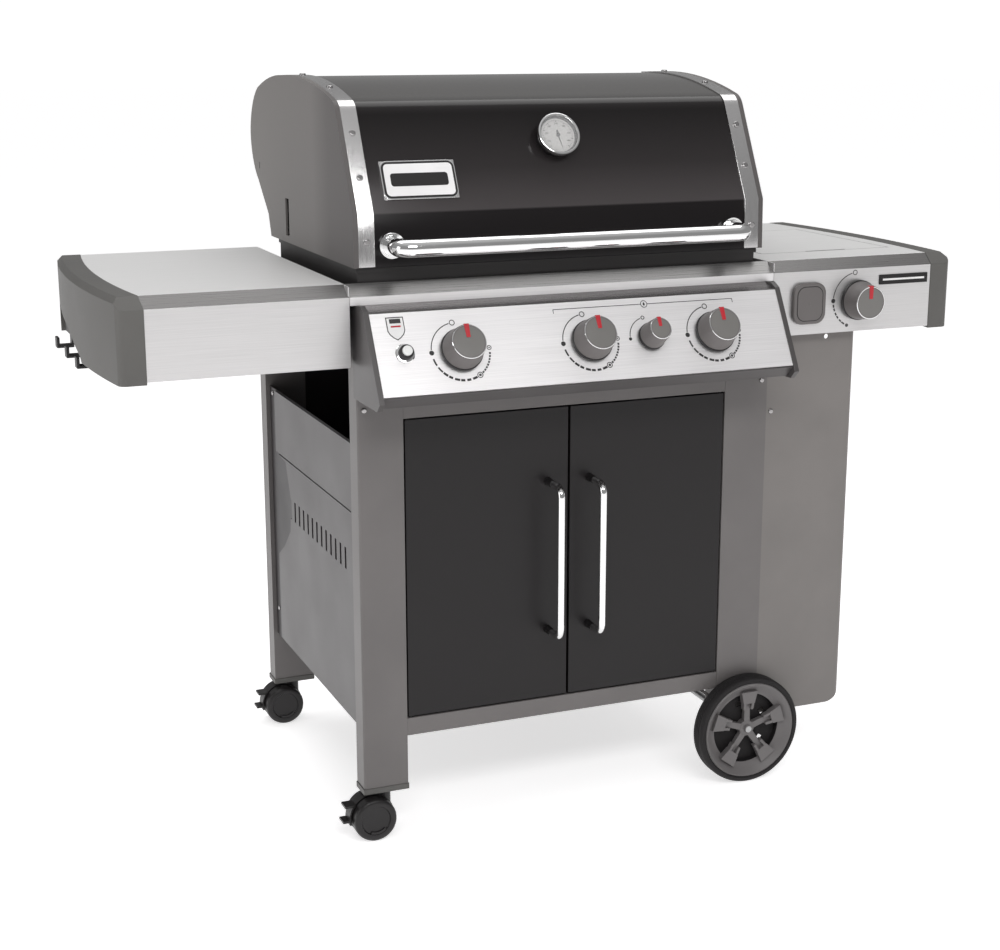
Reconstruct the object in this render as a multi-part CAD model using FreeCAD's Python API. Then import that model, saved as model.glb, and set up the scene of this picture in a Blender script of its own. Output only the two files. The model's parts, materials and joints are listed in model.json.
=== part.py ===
import FreeCAD, Part
import math
import os

# Gas barbecue grill on a wheeled cart.  Millimetres, +Z up, floor at Z = 0.
# While modelling, X = 0 is the middle of the console and Y = 0 is the front
# face of the side tables.  On export everything is moved so that the origin
# lies under the middle of the whole grill's bounding box.

Vec = FreeCAD.Vector

# ---- driving dimensions -------------------------------------------------
table_top = 961.5          # height of the side tables and the console deck
table_depth = 570.0
table_reach = 326.0        # steel part of a side table, sideways
bevel_depth = 24.6         # slanted front edge of the tables and the deck
bevel_drop = 18.1
fascia_height = 130.7      # table top down to the lower edge of its front
sheet = 2.0                # sheet metal of tables, panel and covers
seam = 0.6                 # gap between the console and each side table

end_cap_width = 41.5
end_cap_bulge = 21.0       # how far the end caps bow out at mid depth
end_cap_wall = 3.0
end_cap_chamfer = 9.0

console_half = 385.0       # half the width between the side tables
panel_half = 366.5         # half the width of the sloping control panel
cheek = 9.0                # thickness of the console's side cheeks
panel_tilt = 29.4          # degrees from upright
panel_height = 138.8       # along the slope
panel_ledge = 37.0         # the panel's top edge stands this far forward
deck_band = 13.4           # upright band under the deck's bevel
ledge_drop = 9.1           # from that band's foot down to the panel's top edge

knob_pitch = 227.5         # between the three main knobs
knob_middle_x = 1.9
small_knob_x = 110.5
knob_down = 71.0           # knob axis below the panel's top edge, on the slope
knob_base_r = 35.5
knob_face_r = 28.5
knob_height = 41.0
knob_gap = 4.5             # free travel between knob and panel
small_knob_scale = 0.66
side_knob_x = 557.5
side_knob_drop = 74.0      # side burner knob below the table top
spindle_r = 4.0
spindle_length = 62.0
running_gap = 0.05         # radial clearance of every shaft in its hole
igniter_x = -319.0
igniter_down = 69.0

cart_front = 24.0          # front plane of legs, rails and doors
cart_back = 644.0
leg_depth = 41.0
leg_wall = 2.5
left_leg_x = -370.0        # outer face of the left legs
left_leg_width = 79.0
right_leg_x = 393.9        # outer face of the right legs
right_leg_width = 84.5
right_plate_inset = 24.0   # upright plate on the right legs, from their outer face
foot_lip = 1.5             # plastic foot cap around the leg's end
leg_top_drop = 176.5       # table top down to the top of the leg tubes

rail_low = 179.2
rail_height = 31.3
rail_depth = 26.0
door_top_drop = 226.6      # table top down to the top of the door opening
door_split_x = 8.7
door_gap = 3.0
door_split_gap = 4.6       # between the two doors
door_thick = 18.0
door_pin_inset = 5.0
door_pin_r = 3.0
door_handle_r = 6.5
door_handle_length = 266.0
door_handle_standoff = 57.0
door_handle_apart = 78.0
door_handle_drop = 131.0   # top of the door opening down to the handle

side_panel_top_drop = 271.5
side_panel_low = 189.0
vent_count = 13
vent_pitch = 28.5
vent_width = 9.0
vent_height = 38.0

cover_right_x = 574.0      # outer edge of the tank cover
cover_low = 117.0
cover_flange = 36.0
cover_bend = 10.0
cover_hole_x = 512.5

wheel_r = 101.6
wheel_width = 36.0
wheel_x = 362.2
rim_r = 90.5
spoke_count = 5
axle_r = 6.0
caster_r = 38.0
leg_foot = 2 * caster_r + 9.0   # underside of the legs, clear above the casters
caster_trail = 24.0
caster_width = 60.0
caster_forward = 6.0       # stem stands this far in front of the leg's middle
caster_stem_r = 5.5

cookbox_half = 362.0
cookbox_front = 32.0
cookbox_back = 492.0
cookbox_wall = 5.0
cookbox_taper = 106.0      # table top down to where the sides start to taper
cookbox_drain_drop = 186.0 # table top down to the drain opening
cookbox_lug = 9.0          # lugs under the side walls, on the side rails
drain_half = 150.0
drain_front = 190.0
drain_back = 340.0
burner_r = 12.0
burner_drop = 90.0
grate_drop = 16.0          # lower face of the cooking grates below the table
grate_bar = 7.0
grate_height = 11.0
grate_pitch = 20.0
heat_bar_count = 6
rack_height = 100.0        # warming rack above the lid's lower edge
rack_depth = 118.0
rack_wire_r = 3.0

lid_half = 371.0
lid_rise = 24.5            # lid's lower edge above the table top
lid_end = 28.0             # cast lid end, sideways
lid_rim = 8.3              # proud rim of the lid end, outside the trim
lid_wall = 2.0
lid_end_wall = 4.0
trim_width = 27.2
trim_proud = 2.5
trim_back = 430.0          # trim strips stop here
lid_pin_y = 510.0
lid_pin_up = 9.5
lid_pin_r = 4.0
handle_r = 14.5
handle_half = 308.5
handle_up = 34.5
handle_y = -36.0
boss_r = 21.0
boss_thick = 15.0
gauge_r = 36.5
gauge_height = 25.0
needle_pin_r = 1.2
gauge_up = 190.0           # gauge centre above the lid's lower edge
badge_width = 128.0
badge_height = 66.0
badge_x = -250.0

side_lid_left = 430.0
side_lid_right = 697.0
side_lid_front = 118.0
side_lid_back = 441.0
side_lid_gap = 2.0
side_lid_skirt = 10.0
side_lid_pin_r = 2.5
side_lid_pin_inset = 4.0
side_lid_pin_drop = 5.0
side_pan_depth = 60.0

fold_pin_x = -384.0        # left table's fold axis
fold_pin_drop = 139.0
fold_pin_r = 3.0
fold_ear_half = 5.5        # half height of the ears, inside the table wall's swing
fold_front = 100.0         # near end of the front pair of ears
fold_length = 42.0
tray_half = 160.0
tray_height = 34.0
screw_r = 4.6

# ---- derived places -----------------------------------------------------
fascia_bottom = table_top - fascia_height
bevel_foot = table_top - bevel_drop
table_outer = console_half + table_reach
lid_base = table_top + lid_rise
rail_top = rail_low + rail_height
door_opening_top = table_top - door_top_drop
leg_top = table_top - leg_top_drop
left_leg_inner = left_leg_x + left_leg_width
right_leg_inner = right_leg_x - right_leg_width
back_leg_front = cart_back - leg_depth
back_plate_top = fascia_bottom + 36.0
side_panel_top = table_top - side_panel_top_drop
cookbox_top = lid_base - 1.5
panel_top_y = -panel_ledge
panel_top_z = bevel_foot - deck_band - ledge_drop
tilt = math.radians(panel_tilt)
down_slope = Vec(0, -math.sin(tilt), -math.cos(tilt))
out_slope = Vec(0, -math.cos(tilt), math.sin(tilt))
front = Vec(0, -1, 0)
back = Vec(0, 1, 0)
up = Vec(0, 0, 1)
right = Vec(1, 0, 0)

nodes = {}


# ---- small tools --------------------------------------------------------
def box(x0, x1, y0, y1, z0, z1):
    return Part.makeBox(x1 - x0, y1 - y0, z1 - z0, Vec(x0, y0, z0))


def rod(start, end, radius):
    along = end - start
    return Part.makeCylinder(radius, along.Length, start, along)


def disc(centre, direction, radius, thickness):
    return Part.makeCylinder(radius, thickness, centre, direction)


def join(shapes):
    joined = shapes[0].multiFuse(shapes[1:]) if len(shapes) > 1 else shapes[0]
    return joined.removeSplitter()


def mirror_x(shape):
    return shape.mirror(Vec(0, 0, 0), Vec(1, 0, 0))


def mirror_cart(shape):
    return shape.mirror(Vec(0, (cart_front + cart_back) / 2, 0), Vec(0, 1, 0))


def offset_line(points, distance):
    """Points of an open line moved sideways, with mitred corners."""
    normals = []
    for (a0, b0), (a1, b1) in zip(points, points[1:]):
        length = math.hypot(a1 - a0, b1 - b0)
        normals.append((-(b1 - b0) / length, (a1 - a0) / length))
    moved = []
    for index, (a, b) in enumerate(points):
        before = normals[max(index - 1, 0)]
        after = normals[min(index, len(normals) - 1)]
        share = distance / (1 + before[0] * after[0] + before[1] * after[1])
        moved.append((a + (before[0] + after[0]) * share, b + (before[1] + after[1]) * share))
    return moved


def side_prism(points, x0, x1):
    """A Y, Z outline drawn out along X."""
    corners = [Vec(x0, y, z) for y, z in points]
    outline = Part.makePolygon(corners + corners[:1])
    return Part.Face(outline).extrude(Vec(x1 - x0, 0, 0))


def front_prism(points, y0, y1):
    """An X, Z outline drawn out along Y."""
    corners = [Vec(x, y0, z) for x, z in points]
    outline = Part.makePolygon(corners + corners[:1])
    return Part.Face(outline).extrude(Vec(0, y1 - y0, 0))


def plan_prism(points, z0, z1):
    """An X, Y outline drawn out along Z."""
    corners = [Vec(x, y, z0) for x, y in points]
    outline = Part.makePolygon(corners + corners[:1])
    return Part.Face(outline).extrude(Vec(0, 0, z1 - z0))


def folded_sheet(points, thickness, x0, x1):
    """Sheet that follows a Y, Z line; thickness is to the line's left."""
    return side_prism(points + offset_line(points, thickness)[::-1], x0, x1)


def tube_box(x0, x1, y0, y1, z0, z1, wall):
    hollow = box(x0 + wall, x1 - wall, y0 + wall, y1 - wall, z0 - 1, z1 + 1)
    return box(x0, x1, y0, y1, z0, z1).cut(hollow)


def edges_at(shape, test):
    return [edge for edge in shape.Edges if test(edge)]


def upright_edge(x, y):
    def test(edge):
        bound = edge.BoundBox
        straight = abs(bound.XMax - bound.XMin) < 0.01 and abs(bound.YMax - bound.YMin) < 0.01
        return straight and abs(bound.XMin - x) < 0.01 and abs(bound.YMin - y) < 0.01
    return test


def on_panel(x, down, out):
    """A point given along and off the sloping control panel."""
    return Vec(x, panel_top_y, panel_top_z) + down_slope * down + out_slope * out


def on_side_fascia(x, drop, out):
    return Vec(x, -out, table_top - drop)


# ---- cart ---------------------------------------------------------------
def left_leg(plate_top):
    x0 = left_leg_x
    y0 = cart_front
    tube = tube_box(x0, left_leg_inner, y0, y0 + leg_depth, leg_foot, leg_top, leg_wall)
    tube = tube.makeFillet(4.0, edges_at(tube, upright_edge(x0, y0)))
    plate = box(x0, x0 + leg_wall, y0, y0 + leg_depth, leg_top, plate_top)
    return join([tube, plate])


def fold_bracket(y0, y1):
    """Two bored ears that carry the left table's fold pin."""
    pin_z = table_top - fold_pin_drop
    low = pin_z - fold_ear_half
    high = pin_z + fold_ear_half
    ears = []
    for y in (y0, y1 - 4):
        ear = box(fold_pin_x - 5, left_leg_x + leg_wall, y, y + 4, low, high)
        hole = rod(Vec(fold_pin_x, y - 1, pin_z), Vec(fold_pin_x, y + 5, pin_z),
                   fold_pin_r + running_gap)
        ears.append(ear.cut(hole))
    web = box(left_leg_x, left_leg_x + leg_wall, y0, y1, low, high)
    return ears + [web]


def left_legs():
    front_leg = left_leg(bevel_foot - 10)
    back_leg = mirror_cart(left_leg(back_plate_top))
    low = table_top - fold_pin_drop - fold_ear_half
    high = low + 2 * fold_ear_half
    front_arm = box(left_leg_x, left_leg_x + leg_wall, cart_front, fold_front, low, high)
    front_leg = join([front_leg, front_arm] + fold_bracket(fold_front, fold_front + fold_length))
    arm = box(left_leg_x, left_leg_x + leg_wall, table_depth - 76, back_leg_front, low, high)
    back_leg = join([back_leg, arm] + fold_bracket(table_depth - 76, table_depth - 24))
    return [front_leg, back_leg]


def right_legs():
    legs = []
    for y0 in (cart_front, back_leg_front):
        tube = tube_box(right_leg_inner, right_leg_x, y0, y0 + leg_depth,
                        leg_foot, leg_top, leg_wall)
        hole = rod(Vec(wheel_x, y0 - 1, wheel_r), Vec(wheel_x, y0 + leg_depth + 1, wheel_r),
                   axle_r + 0.3)
        tube = tube.cut(hole)
        inner = right_leg_x - right_plate_inset
        plate_top = bevel_foot - 10 if y0 == cart_front else back_plate_top
        plate = box(inner, inner + leg_wall, y0, y0 + leg_depth, leg_top, plate_top)
        foot = box(inner, right_leg_x - leg_wall - 0.5, y0 + leg_wall + 0.5,
                   y0 + leg_depth - leg_wall - 0.5, leg_top, leg_top + leg_wall)
        seat_y = y0 if y0 == cart_front else y0 - 60
        seat = box(inner, console_half + seam, seat_y, y0 + leg_depth,
                   fascia_bottom + 20, fascia_bottom + 26)
        web = box(inner, inner + leg_wall, seat_y, y0 + leg_depth,
                  fascia_bottom + 10, fascia_bottom + 36)
        bridge = box(right_leg_inner, right_leg_x, y0 + leg_wall, y0 + leg_depth - leg_wall,
                     leg_top - 3, leg_top)
        legs.append(join([tube, plate, foot, seat, web, bridge]))
    return legs


def build_legs():
    nodes["legs"] = Part.makeCompound(left_legs() + right_legs())


def foot_cap(x0, x1, y0, stem):
    y1 = y0 + leg_depth
    lip = foot_lip
    cap = box(x0 - lip, x1 + lip, y0 - lip, y1 + lip, leg_foot - 3, leg_foot + 7)
    cap = cap.cut(box(x0, x1, y0, y1, leg_foot, leg_foot + 8))
    if not stem:
        return cap
    centre = Vec((x0 + x1) / 2, (y0 + y1) / 2 - caster_forward, leg_foot - 3)
    cap = join([cap, disc(centre, up, 11.0, 38.0)])
    return cap.cut(disc(centre - up, up, caster_stem_r + running_gap, 37.5))


def build_side_rails():
    """Angle rails between the leg plates; the cookbox rests on their flanges."""
    seat = table_top - cookbox_taper - cookbox_lug
    rails = []
    for face, inner in ((left_leg_x + leg_wall, -cookbox_half + 16),
                        (right_leg_x - right_plate_inset, cookbox_half - 16)):
        step = leg_wall if face < 0 else -leg_wall
        web = box(min(face, face + step), max(face, face + step), cart_front, cart_back,
                  seat - leg_wall, back_plate_top)
        flange = box(min(face, inner), max(face, inner), cart_front, cart_back,
                     seat - leg_wall, seat)
        rails.append(join([web, flange]))
    nodes["side_rails"] = Part.makeCompound(rails)


def build_foot_caps():
    caps = []
    for y0 in (cart_front, back_leg_front):
        caps.append(foot_cap(left_leg_x, left_leg_inner, y0, True))
        caps.append(foot_cap(right_leg_inner, right_leg_x, y0, False))
    nodes["foot_caps"] = Part.makeCompound(caps)


def channel_rail(z0, z1):
    """Front rail between the legs: a channel that opens to the back."""
    line = [(cart_front + rail_depth, z0), (cart_front, z0), (cart_front, z1),
            (cart_front + rail_depth, z1)]
    return folded_sheet(line, -leg_wall, left_leg_inner, right_leg_inner)


def build_front_rails():
    low_rail = channel_rail(rail_low, rail_top)
    top_rail = channel_rail(door_opening_top, table_top - 185.0)
    brace = front_prism([(right_leg_inner - 36, rail_low), (right_leg_inner - 26, rail_low),
                         (right_leg_inner, rail_low - 20), (right_leg_inner, rail_low - 28)],
                        cart_front + 8, cart_front + 12)
    nodes["front_rails"] = Part.makeCompound([join([low_rail, brace]), top_rail])


def side_field(y0, y1):
    """Raised field of the side panel, narrower at mid height."""
    top = side_panel_top
    low = side_panel_low
    waist = y1 - 97
    points = [(y0, low + 8), (y0, top), (y1, top), (y1, top - 118), (waist + 30, top - 125),
              (waist, top - 190), (waist + 8, top - 254), (waist + 55, top - 296),
              (y1, top - 322), (y1, low + 8)]
    return side_prism(points, left_leg_x + 3.0, left_leg_x + 8.0)


def build_side_panel_left():
    y0 = cart_front + leg_depth
    y1 = back_leg_front
    plate = box(left_leg_x + 8.0, left_leg_x + 10.0, y0, y1, side_panel_low, side_panel_top)
    panel = join([plate, side_field(y0 + 6, y1 - 50)])
    fold = side_panel_top - 120
    cuts = [box(left_leg_x + 2.0, left_leg_x + 4.5, y0 + 12, y1 - 56, fold, fold + 3)]
    first = y0 + 45
    vent_top = side_panel_top - 190
    for index in range(vent_count):
        y = first + index * vent_pitch
        cuts.append(box(left_leg_x, left_leg_x + 12, y, y + vent_width,
                        vent_top - vent_height, vent_top))
    for cut in cuts:
        panel = panel.cut(cut)
    nodes["side_panel_left"] = panel


def build_side_panel_right():
    y0 = cart_front + leg_depth
    inner = right_leg_x - 10.0
    line = [(y0, side_panel_low + 18), (y0, side_panel_low), (back_leg_front, side_panel_low),
            (back_leg_front, side_panel_low + 18)]
    plate = box(inner, inner + sheet, y0, back_leg_front, side_panel_low, leg_top - 4)
    rib = folded_sheet(line[1:3], sheet, inner - 14, inner)
    nodes["side_panel_right"] = join([plate, rib])


def build_back_panel():
    y0 = back_leg_front + 8.0
    low = rail_low
    top = door_opening_top - 20
    plate = box(left_leg_inner, right_leg_inner, y0, y0 + sheet, low, top)
    lip = box(left_leg_inner, right_leg_inner, y0 + sheet, y0 + 20, top - sheet, top)
    foot = box(left_leg_inner, right_leg_inner, y0 + sheet, y0 + 20, low, low + sheet)
    panel = join([plate, lip, foot])
    for row in range(3):
        for column in range(6):
            x = left_leg_inner + 196 + column * 62
            z = low + 90 + row * 22
            panel = panel.cut(box(x, x + 40, y0 - 1, y0 + sheet + 1, z, z + 8))
    nodes["back_panel"] = panel


def build_bottom_shelf():
    z0 = rail_top - 10
    y0 = cart_front + rail_depth + 1
    y1 = back_leg_front + 7.5
    line = [(y0, z0 + 16), (y0, z0), (y1, z0), (y1, z0 + 16)]
    tray = folded_sheet(line, sheet, left_leg_inner + 1, right_leg_inner - 1)
    wing_y0 = cart_front + leg_depth + 1
    wing_y1 = back_leg_front - 1
    left_wing = box(left_leg_x + 10.5, left_leg_inner + 1, wing_y0, wing_y1, z0, z0 + sheet)
    right_wing = box(right_leg_inner - 1, right_leg_x - 10.5, wing_y0, wing_y1, z0, z0 + sheet)
    shelf = join([tray, left_wing, right_wing])
    nodes["bottom_shelf"] = shelf


def build_tank_cover():
    x0 = right_leg_x
    x1 = cover_right_x
    y0 = cart_front
    top = fascia_bottom + 19
    wall = sheet
    bend = cover_bend
    cover = box(x0, x1, y0, y0 + cover_flange, cover_low, top)
    cover = cover.makeFillet(bend, edges_at(cover, upright_edge(x1, y0)))
    hollow = box(x0 + wall, x1 - wall, y0 + wall, y0 + cover_flange + 1, cover_low - 1, top + 1)
    inner_edge = edges_at(hollow, upright_edge(x1 - wall, y0 + wall))
    cover = cover.cut(hollow.makeFillet(bend - wall, inner_edge))
    round_r = 30.0
    corner = box(x1 - round_r, x1 + 1, y0 - 1, y0 + cover_flange + 1, cover_low - 1,
                 cover_low + round_r)
    keep = rod(Vec(x1 - round_r, y0 - 2, cover_low + round_r),
               Vec(x1 - round_r, y0 + cover_flange + 2, cover_low + round_r), round_r)
    cover = cover.cut(corner.cut(keep))
    hole = rod(Vec(cover_hole_x, y0 - 1, fascia_bottom - 10.4),
               Vec(cover_hole_x, y0 + 5, fascia_bottom - 10.4), 4.4)
    nodes["tank_cover"] = cover.cut(hole)


def build_axle():
    reach = cart_front - wheel_width - 2.0 + 6.0
    far = cart_back + wheel_width + 2.0 - 6.0
    shaft = rod(Vec(wheel_x, reach, wheel_r), Vec(wheel_x, far, wheel_r), axle_r)
    nodes["axle"] = shaft


def wheel(y0):
    """Rubber tyre and spoked plastic rim; the axle ends blind in the hub."""
    centre = Vec(wheel_x, y0, wheel_r)
    tyre = disc(centre, back, wheel_r, wheel_width)
    tyre = tyre.makeFillet(6.0, [e for e in tyre.Edges if abs(e.Length - 2 * math.pi * wheel_r) < 1])
    tyre = tyre.cut(disc(centre - back, back, rim_r, wheel_width + 2))
    band = disc(centre + back * 1.5, back, rim_r, wheel_width - 3)
    band = band.cut(disc(centre, back, rim_r - 5.0, wheel_width + 2))
    dish = disc(centre + back * 8.0, back, rim_r - 5.0, 4.0)
    dish = dish.cut(disc(centre, back, rim_r - 19.0, wheel_width))
    hub = disc(centre + back * 3.0, back, 15.0, wheel_width - 4.0)
    pieces = [band, dish, hub]
    for index in range(spoke_count):
        spoke = front_prism([(wheel_x - 6, wheel_r + 9), (wheel_x + 6, wheel_r + 9),
                             (wheel_x + 15, wheel_r + rim_r - 14),
                             (wheel_x - 15, wheel_r + rim_r - 14)], y0 + 5.0, y0 + 21.0)
        spoke.rotate(Vec(wheel_x, 0, wheel_r), Vec(0, 1, 0), index * 360.0 / spoke_count)
        pieces.append(spoke)
    rim = join(pieces)
    bore = disc(centre + back * 5.5, back, axle_r + running_gap, wheel_width)
    return [tyre, rim.cut(bore)]


def build_wheels():
    front_wheel = wheel(cart_front - wheel_width - 2.0)
    nodes["wheel_front"] = Part.makeCompound(front_wheel)
    nodes["wheel_rear"] = Part.makeCompound([mirror_cart(piece) for piece in front_wheel])


def caster(stem_y, name):
    """Twin wheel caster: forked body with stem, wheel pair on its axle, brake lever."""
    stem_x = left_leg_x + left_leg_width / 2
    hub_x = stem_x - caster_trail
    hub = Vec(hub_x, stem_y, caster_r)
    block = disc(Vec(stem_x, stem_y, 50.0), up, 11.0, leg_foot - 4.0 - 50.0)
    stem = disc(Vec(stem_x, stem_y, leg_foot - 4.5), up, caster_stem_r, 36.0)
    web = front_prism([(hub_x - 20, caster_r), (hub_x - 12, caster_r + 30),
                       (stem_x, leg_foot - 5), (stem_x + 9, 52.0), (hub_x, caster_r - 14)],
                      stem_y - 6.0, stem_y + 2.0)
    bush = disc(hub - back * 6.0, back, 17.0, 8.0)
    frame = join([block, stem, web, bush])
    frame = frame.cut(disc(hub - back * 10, back, 5.0 + running_gap, 20.0))
    half = caster_width / 2
    clear = disc(hub - back * (half + 1), back, caster_r + 1.2, half + 1 - 6.6)
    clear_far = disc(hub + back * 6.6, back, caster_r + 1.2, half)
    frame = frame.cut(clear).cut(clear_far)
    nodes["caster_frame_" + name] = frame
    discs = []
    for side in (-1, 1):
        plate = disc(hub + back * (side * half), back * -side, caster_r, half - 7.0)
        outer = [e for e in plate.Edges if abs(e.Length - 2 * math.pi * caster_r) < 1]
        discs.append(plate.makeFillet(3.0, outer))
    pin = disc(hub - back * 8.0, back, 5.0, 16.0)
    nodes["caster_wheels_" + name] = join(discs + [pin])
    ring = disc(hub + back * 2.6, back, 11.0, 3.4)
    band_in = caster_r + 2.0
    band_out = caster_r + 5.0
    arm = box(hub_x - band_out, hub_x - 7, stem_y + 2.6, stem_y + 6.0, caster_r - 5, caster_r + 5)
    band = disc(hub - back * 12.0, back, band_out, 24.0)
    band = band.cut(disc(hub - back * 13, back, band_in, 26.0))
    reach = band_out + 17.0
    sector = front_prism([(hub_x, caster_r), (hub_x - reach, caster_r - 14),
                          (hub_x - reach, caster_r + 46)], stem_y - 20, stem_y + 20)
    tab_low = box(hub_x - band_out - 11, hub_x - band_in - 1.5, stem_y - 12, stem_y + 12,
                  caster_r - 4, caster_r)
    tab_high = box(hub_x - band_out - 7, hub_x - band_in + 9, stem_y - 12, stem_y + 12,
                   caster_r + 23, caster_r + 27)
    lever = join([ring, arm, band.common(sector), tab_low, tab_high])
    lever = lever.cut(disc(hub - back * 10, back, 5.0 + running_gap, 20.0))
    nodes["brake_lever_" + name] = lever


def build_casters():
    caster(cart_front + leg_depth / 2 - caster_forward, "front")
    caster(cart_back - leg_depth / 2 - caster_forward, "rear")


# ---- doors --------------------------------------------------------------
def door(x0, x1, pin_x):
    """Inset cabinet door: a folded pan with a pin hole top and bottom."""
    y0 = cart_front + 1.0
    z0 = rail_top + door_gap
    z1 = door_opening_top - door_gap
    pan = box(x0, x1, y0, y0 + door_thick, z0, z1)
    pan = pan.cut(box(x0 + 14, x1 - 14, y0 + sheet, y0 + door_thick + 1, z0 + 14, z1 - 14))
    centre = Vec(pin_x, y0 + door_pin_inset, z0 - 1)
    for z in (z0 - 1, z1 - 10):
        centre.z = z
        pan = pan.cut(disc(centre, up, door_pin_r + running_gap, 11.0))
    return pan


def door_handle(x):
    """Upright tube with slanted ends on two short posts."""
    y = cart_front + 1.0 - door_handle_standoff
    top = door_opening_top - door_handle_drop
    low = top - door_handle_length
    slant = 16.0
    points = [Vec(x, y + slant, low), Vec(x, y, low + slant), Vec(x, y, top - slant),
              Vec(x, y + slant, top)]
    pieces = [rod(a, b, door_handle_r) for a, b in zip(points, points[1:])]
    pieces += [Part.makeSphere(door_handle_r, point) for point in points]
    for point in (points[0], points[-1]):
        pieces.append(rod(point, Vec(x, cart_front + 1.0, point.z), 5.0))
    return join(pieces)


def build_doors():
    left_edge = left_leg_inner + door_gap
    right_edge = right_leg_inner - door_gap
    half_gap = door_split_gap / 2
    nodes["door_left"] = door(left_edge, door_split_x - half_gap, left_edge + door_pin_inset)
    nodes["door_right"] = door(door_split_x + half_gap, right_edge, right_edge - door_pin_inset)
    nodes["door_handle_left"] = door_handle(door_split_x - door_handle_apart / 2)
    nodes["door_handle_right"] = door_handle(door_split_x + door_handle_apart / 2)


# ---- side tables --------------------------------------------------------
def table_line():
    return [(12, fascia_bottom), (0, fascia_bottom), (0, bevel_foot), (bevel_depth, table_top),
            (table_depth, table_top), (table_depth, table_top - 60),
            (table_depth - 12, table_top - 60)]


def bow(x, bulge, clear):
    """Bowed plan edge of an end cap, from front to back."""
    middle = Vec(x - bulge, table_depth / 2, 0)
    return Part.Arc(Vec(x, -clear, 0), middle, Vec(x, table_depth + clear, 0)).toShape()


def cap_plan(x_in, x_out, clear, z0, z1):
    inner = bow(x_in, end_cap_bulge, clear)
    outer = bow(x_out, end_cap_bulge, clear)
    ends = []
    for y in (-clear, table_depth + clear):
        ends.append(Part.LineSegment(Vec(x_in, y, 0), Vec(x_out, y, 0)).toShape())
    wire = Part.Wire(Part.__sortEdges__([inner, outer] + ends))
    plan = Part.Face(wire).extrude(Vec(0, 0, z1 - z0))
    plan.translate(Vec(0, 0, z0))
    return plan


def end_cap_left():
    proud = 1.0
    x_in = -table_outer
    x_out = x_in - end_cap_width
    low = fascia_bottom - 4.0
    top = table_top + 0.6
    body = cap_plan(x_in, x_out, proud, low, top)

    def outer_top(edge):
        bound = edge.BoundBox
        return bound.ZMin > top - 0.1 and bound.XMax < x_out + 0.1 and bound.YLength > 100
    body = body.makeChamfer(end_cap_chamfer, edges_at(body, outer_top))
    outline = [(-proud, low - 1), (-proud, bevel_foot), (bevel_depth - proud, top),
               (table_depth + proud, top), (table_depth + proud, low - 1)]
    body = body.common(side_prism(outline, x_out - 60, x_in + 1))
    wall = end_cap_wall
    hollow = cap_plan(x_in - wall, x_out + end_cap_chamfer, proud - wall, low - 1, table_top - wall)
    inner = [(wall, low - 2), (wall, bevel_foot - wall), (bevel_depth + wall, table_top - wall),
             (table_depth - wall, table_top - wall), (table_depth - wall, low - 2)]
    hollow = hollow.common(side_prism(inner, x_out - 60, x_in + 1))
    body = body.cut(hollow)
    return body, low


def build_left_table():
    x_seam = -(console_half + seam)
    x_far = -(table_outer + end_cap_bulge + 4)
    tray = folded_sheet(table_line(), -sheet, x_far, x_seam)
    wall = box(x_seam - sheet, x_seam, sheet, table_depth - sheet, fascia_bottom, table_top - 1)
    tray = join([tray, wall])
    clear = 0.3
    tray = tray.cut(cap_plan(-table_outer + clear, x_far - 40, 2.0, fascia_bottom - 9, table_top + 9))
    low = table_top - fold_pin_drop
    for y0, y1 in ((fold_front + 5, fold_front + fold_length - 5),
                   (table_depth - 71, table_depth - 29)):
        knuckle = rod(Vec(fold_pin_x, y0, low), Vec(fold_pin_x, y1, low), 5.6)
        leaf = box(x_seam - sheet, x_seam, y0, y1, low, fascia_bottom + 2)
        tray = join([tray, knuckle, leaf])
        tray = tray.cut(rod(Vec(fold_pin_x, y0 - 1, low), Vec(fold_pin_x, y1 + 1, low),
                            fold_pin_r + running_gap))
    nodes["left_table"] = tray


def build_end_caps():
    body, low = end_cap_left()
    nodes["right_end_cap"] = mirror_x(body)
    arch = [(table_depth * 0.4, low - 1), (table_depth * 0.42, low + 8),
            (table_depth * 0.62, low + 38), (table_depth * 0.85, low + 52),
            (table_depth - end_cap_wall, low + 56), (table_depth - end_cap_wall, low - 1)]
    x_out = -(table_outer + end_cap_width)
    nodes["left_end_cap"] = body.cut(side_prism(arch, x_out - 60, x_out + 8))


def build_tool_hooks():
    x = -(table_outer + end_cap_width) + 5.0
    low = fascia_bottom - 2.0
    hang = low - 20.0
    rail = box(x, x + 4, table_depth * 0.4, table_depth - 5 * end_cap_wall, low, low + 40)
    pieces = [rail]
    for y in (285.0, 392.0, 498.0):
        y = y * table_depth / 570.0
        web = box(x, x + 4, y - 11, y + 11, hang + 4, low)
        arm = box(x - 22, x + 4, y - 11, y + 11, hang, hang + 5)
        tip = box(x - 26, x - 21, y - 11, y + 11, hang, hang + 19)
        pieces += [web, arm, tip]
    nodes["tool_hooks"] = join(pieces)


def build_right_table():
    x_seam = console_half + seam
    x_far = table_outer + end_cap_bulge + 4
    tray = folded_sheet(table_line(), -sheet, x_seam, x_far)
    wall = box(x_seam, x_seam + sheet, sheet, table_depth - sheet, fascia_bottom, table_top - 1)
    tray = join([tray, wall])
    clear = 0.3
    plan = cap_plan(-table_outer + clear, -x_far - 40, 2.0, fascia_bottom - 9, table_top + 9)
    tray = tray.cut(mirror_x(plan))
    gap = side_lid_gap
    tray = tray.cut(box(side_lid_left - gap, side_lid_right + gap, side_lid_front - gap,
                        side_lid_back + gap, table_top - 10, table_top + 1))
    hole = on_side_fascia(side_knob_x, side_knob_drop, -5)
    nodes["right_table"] = tray.cut(disc(hole, front, 7.0, 10.0))


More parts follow.
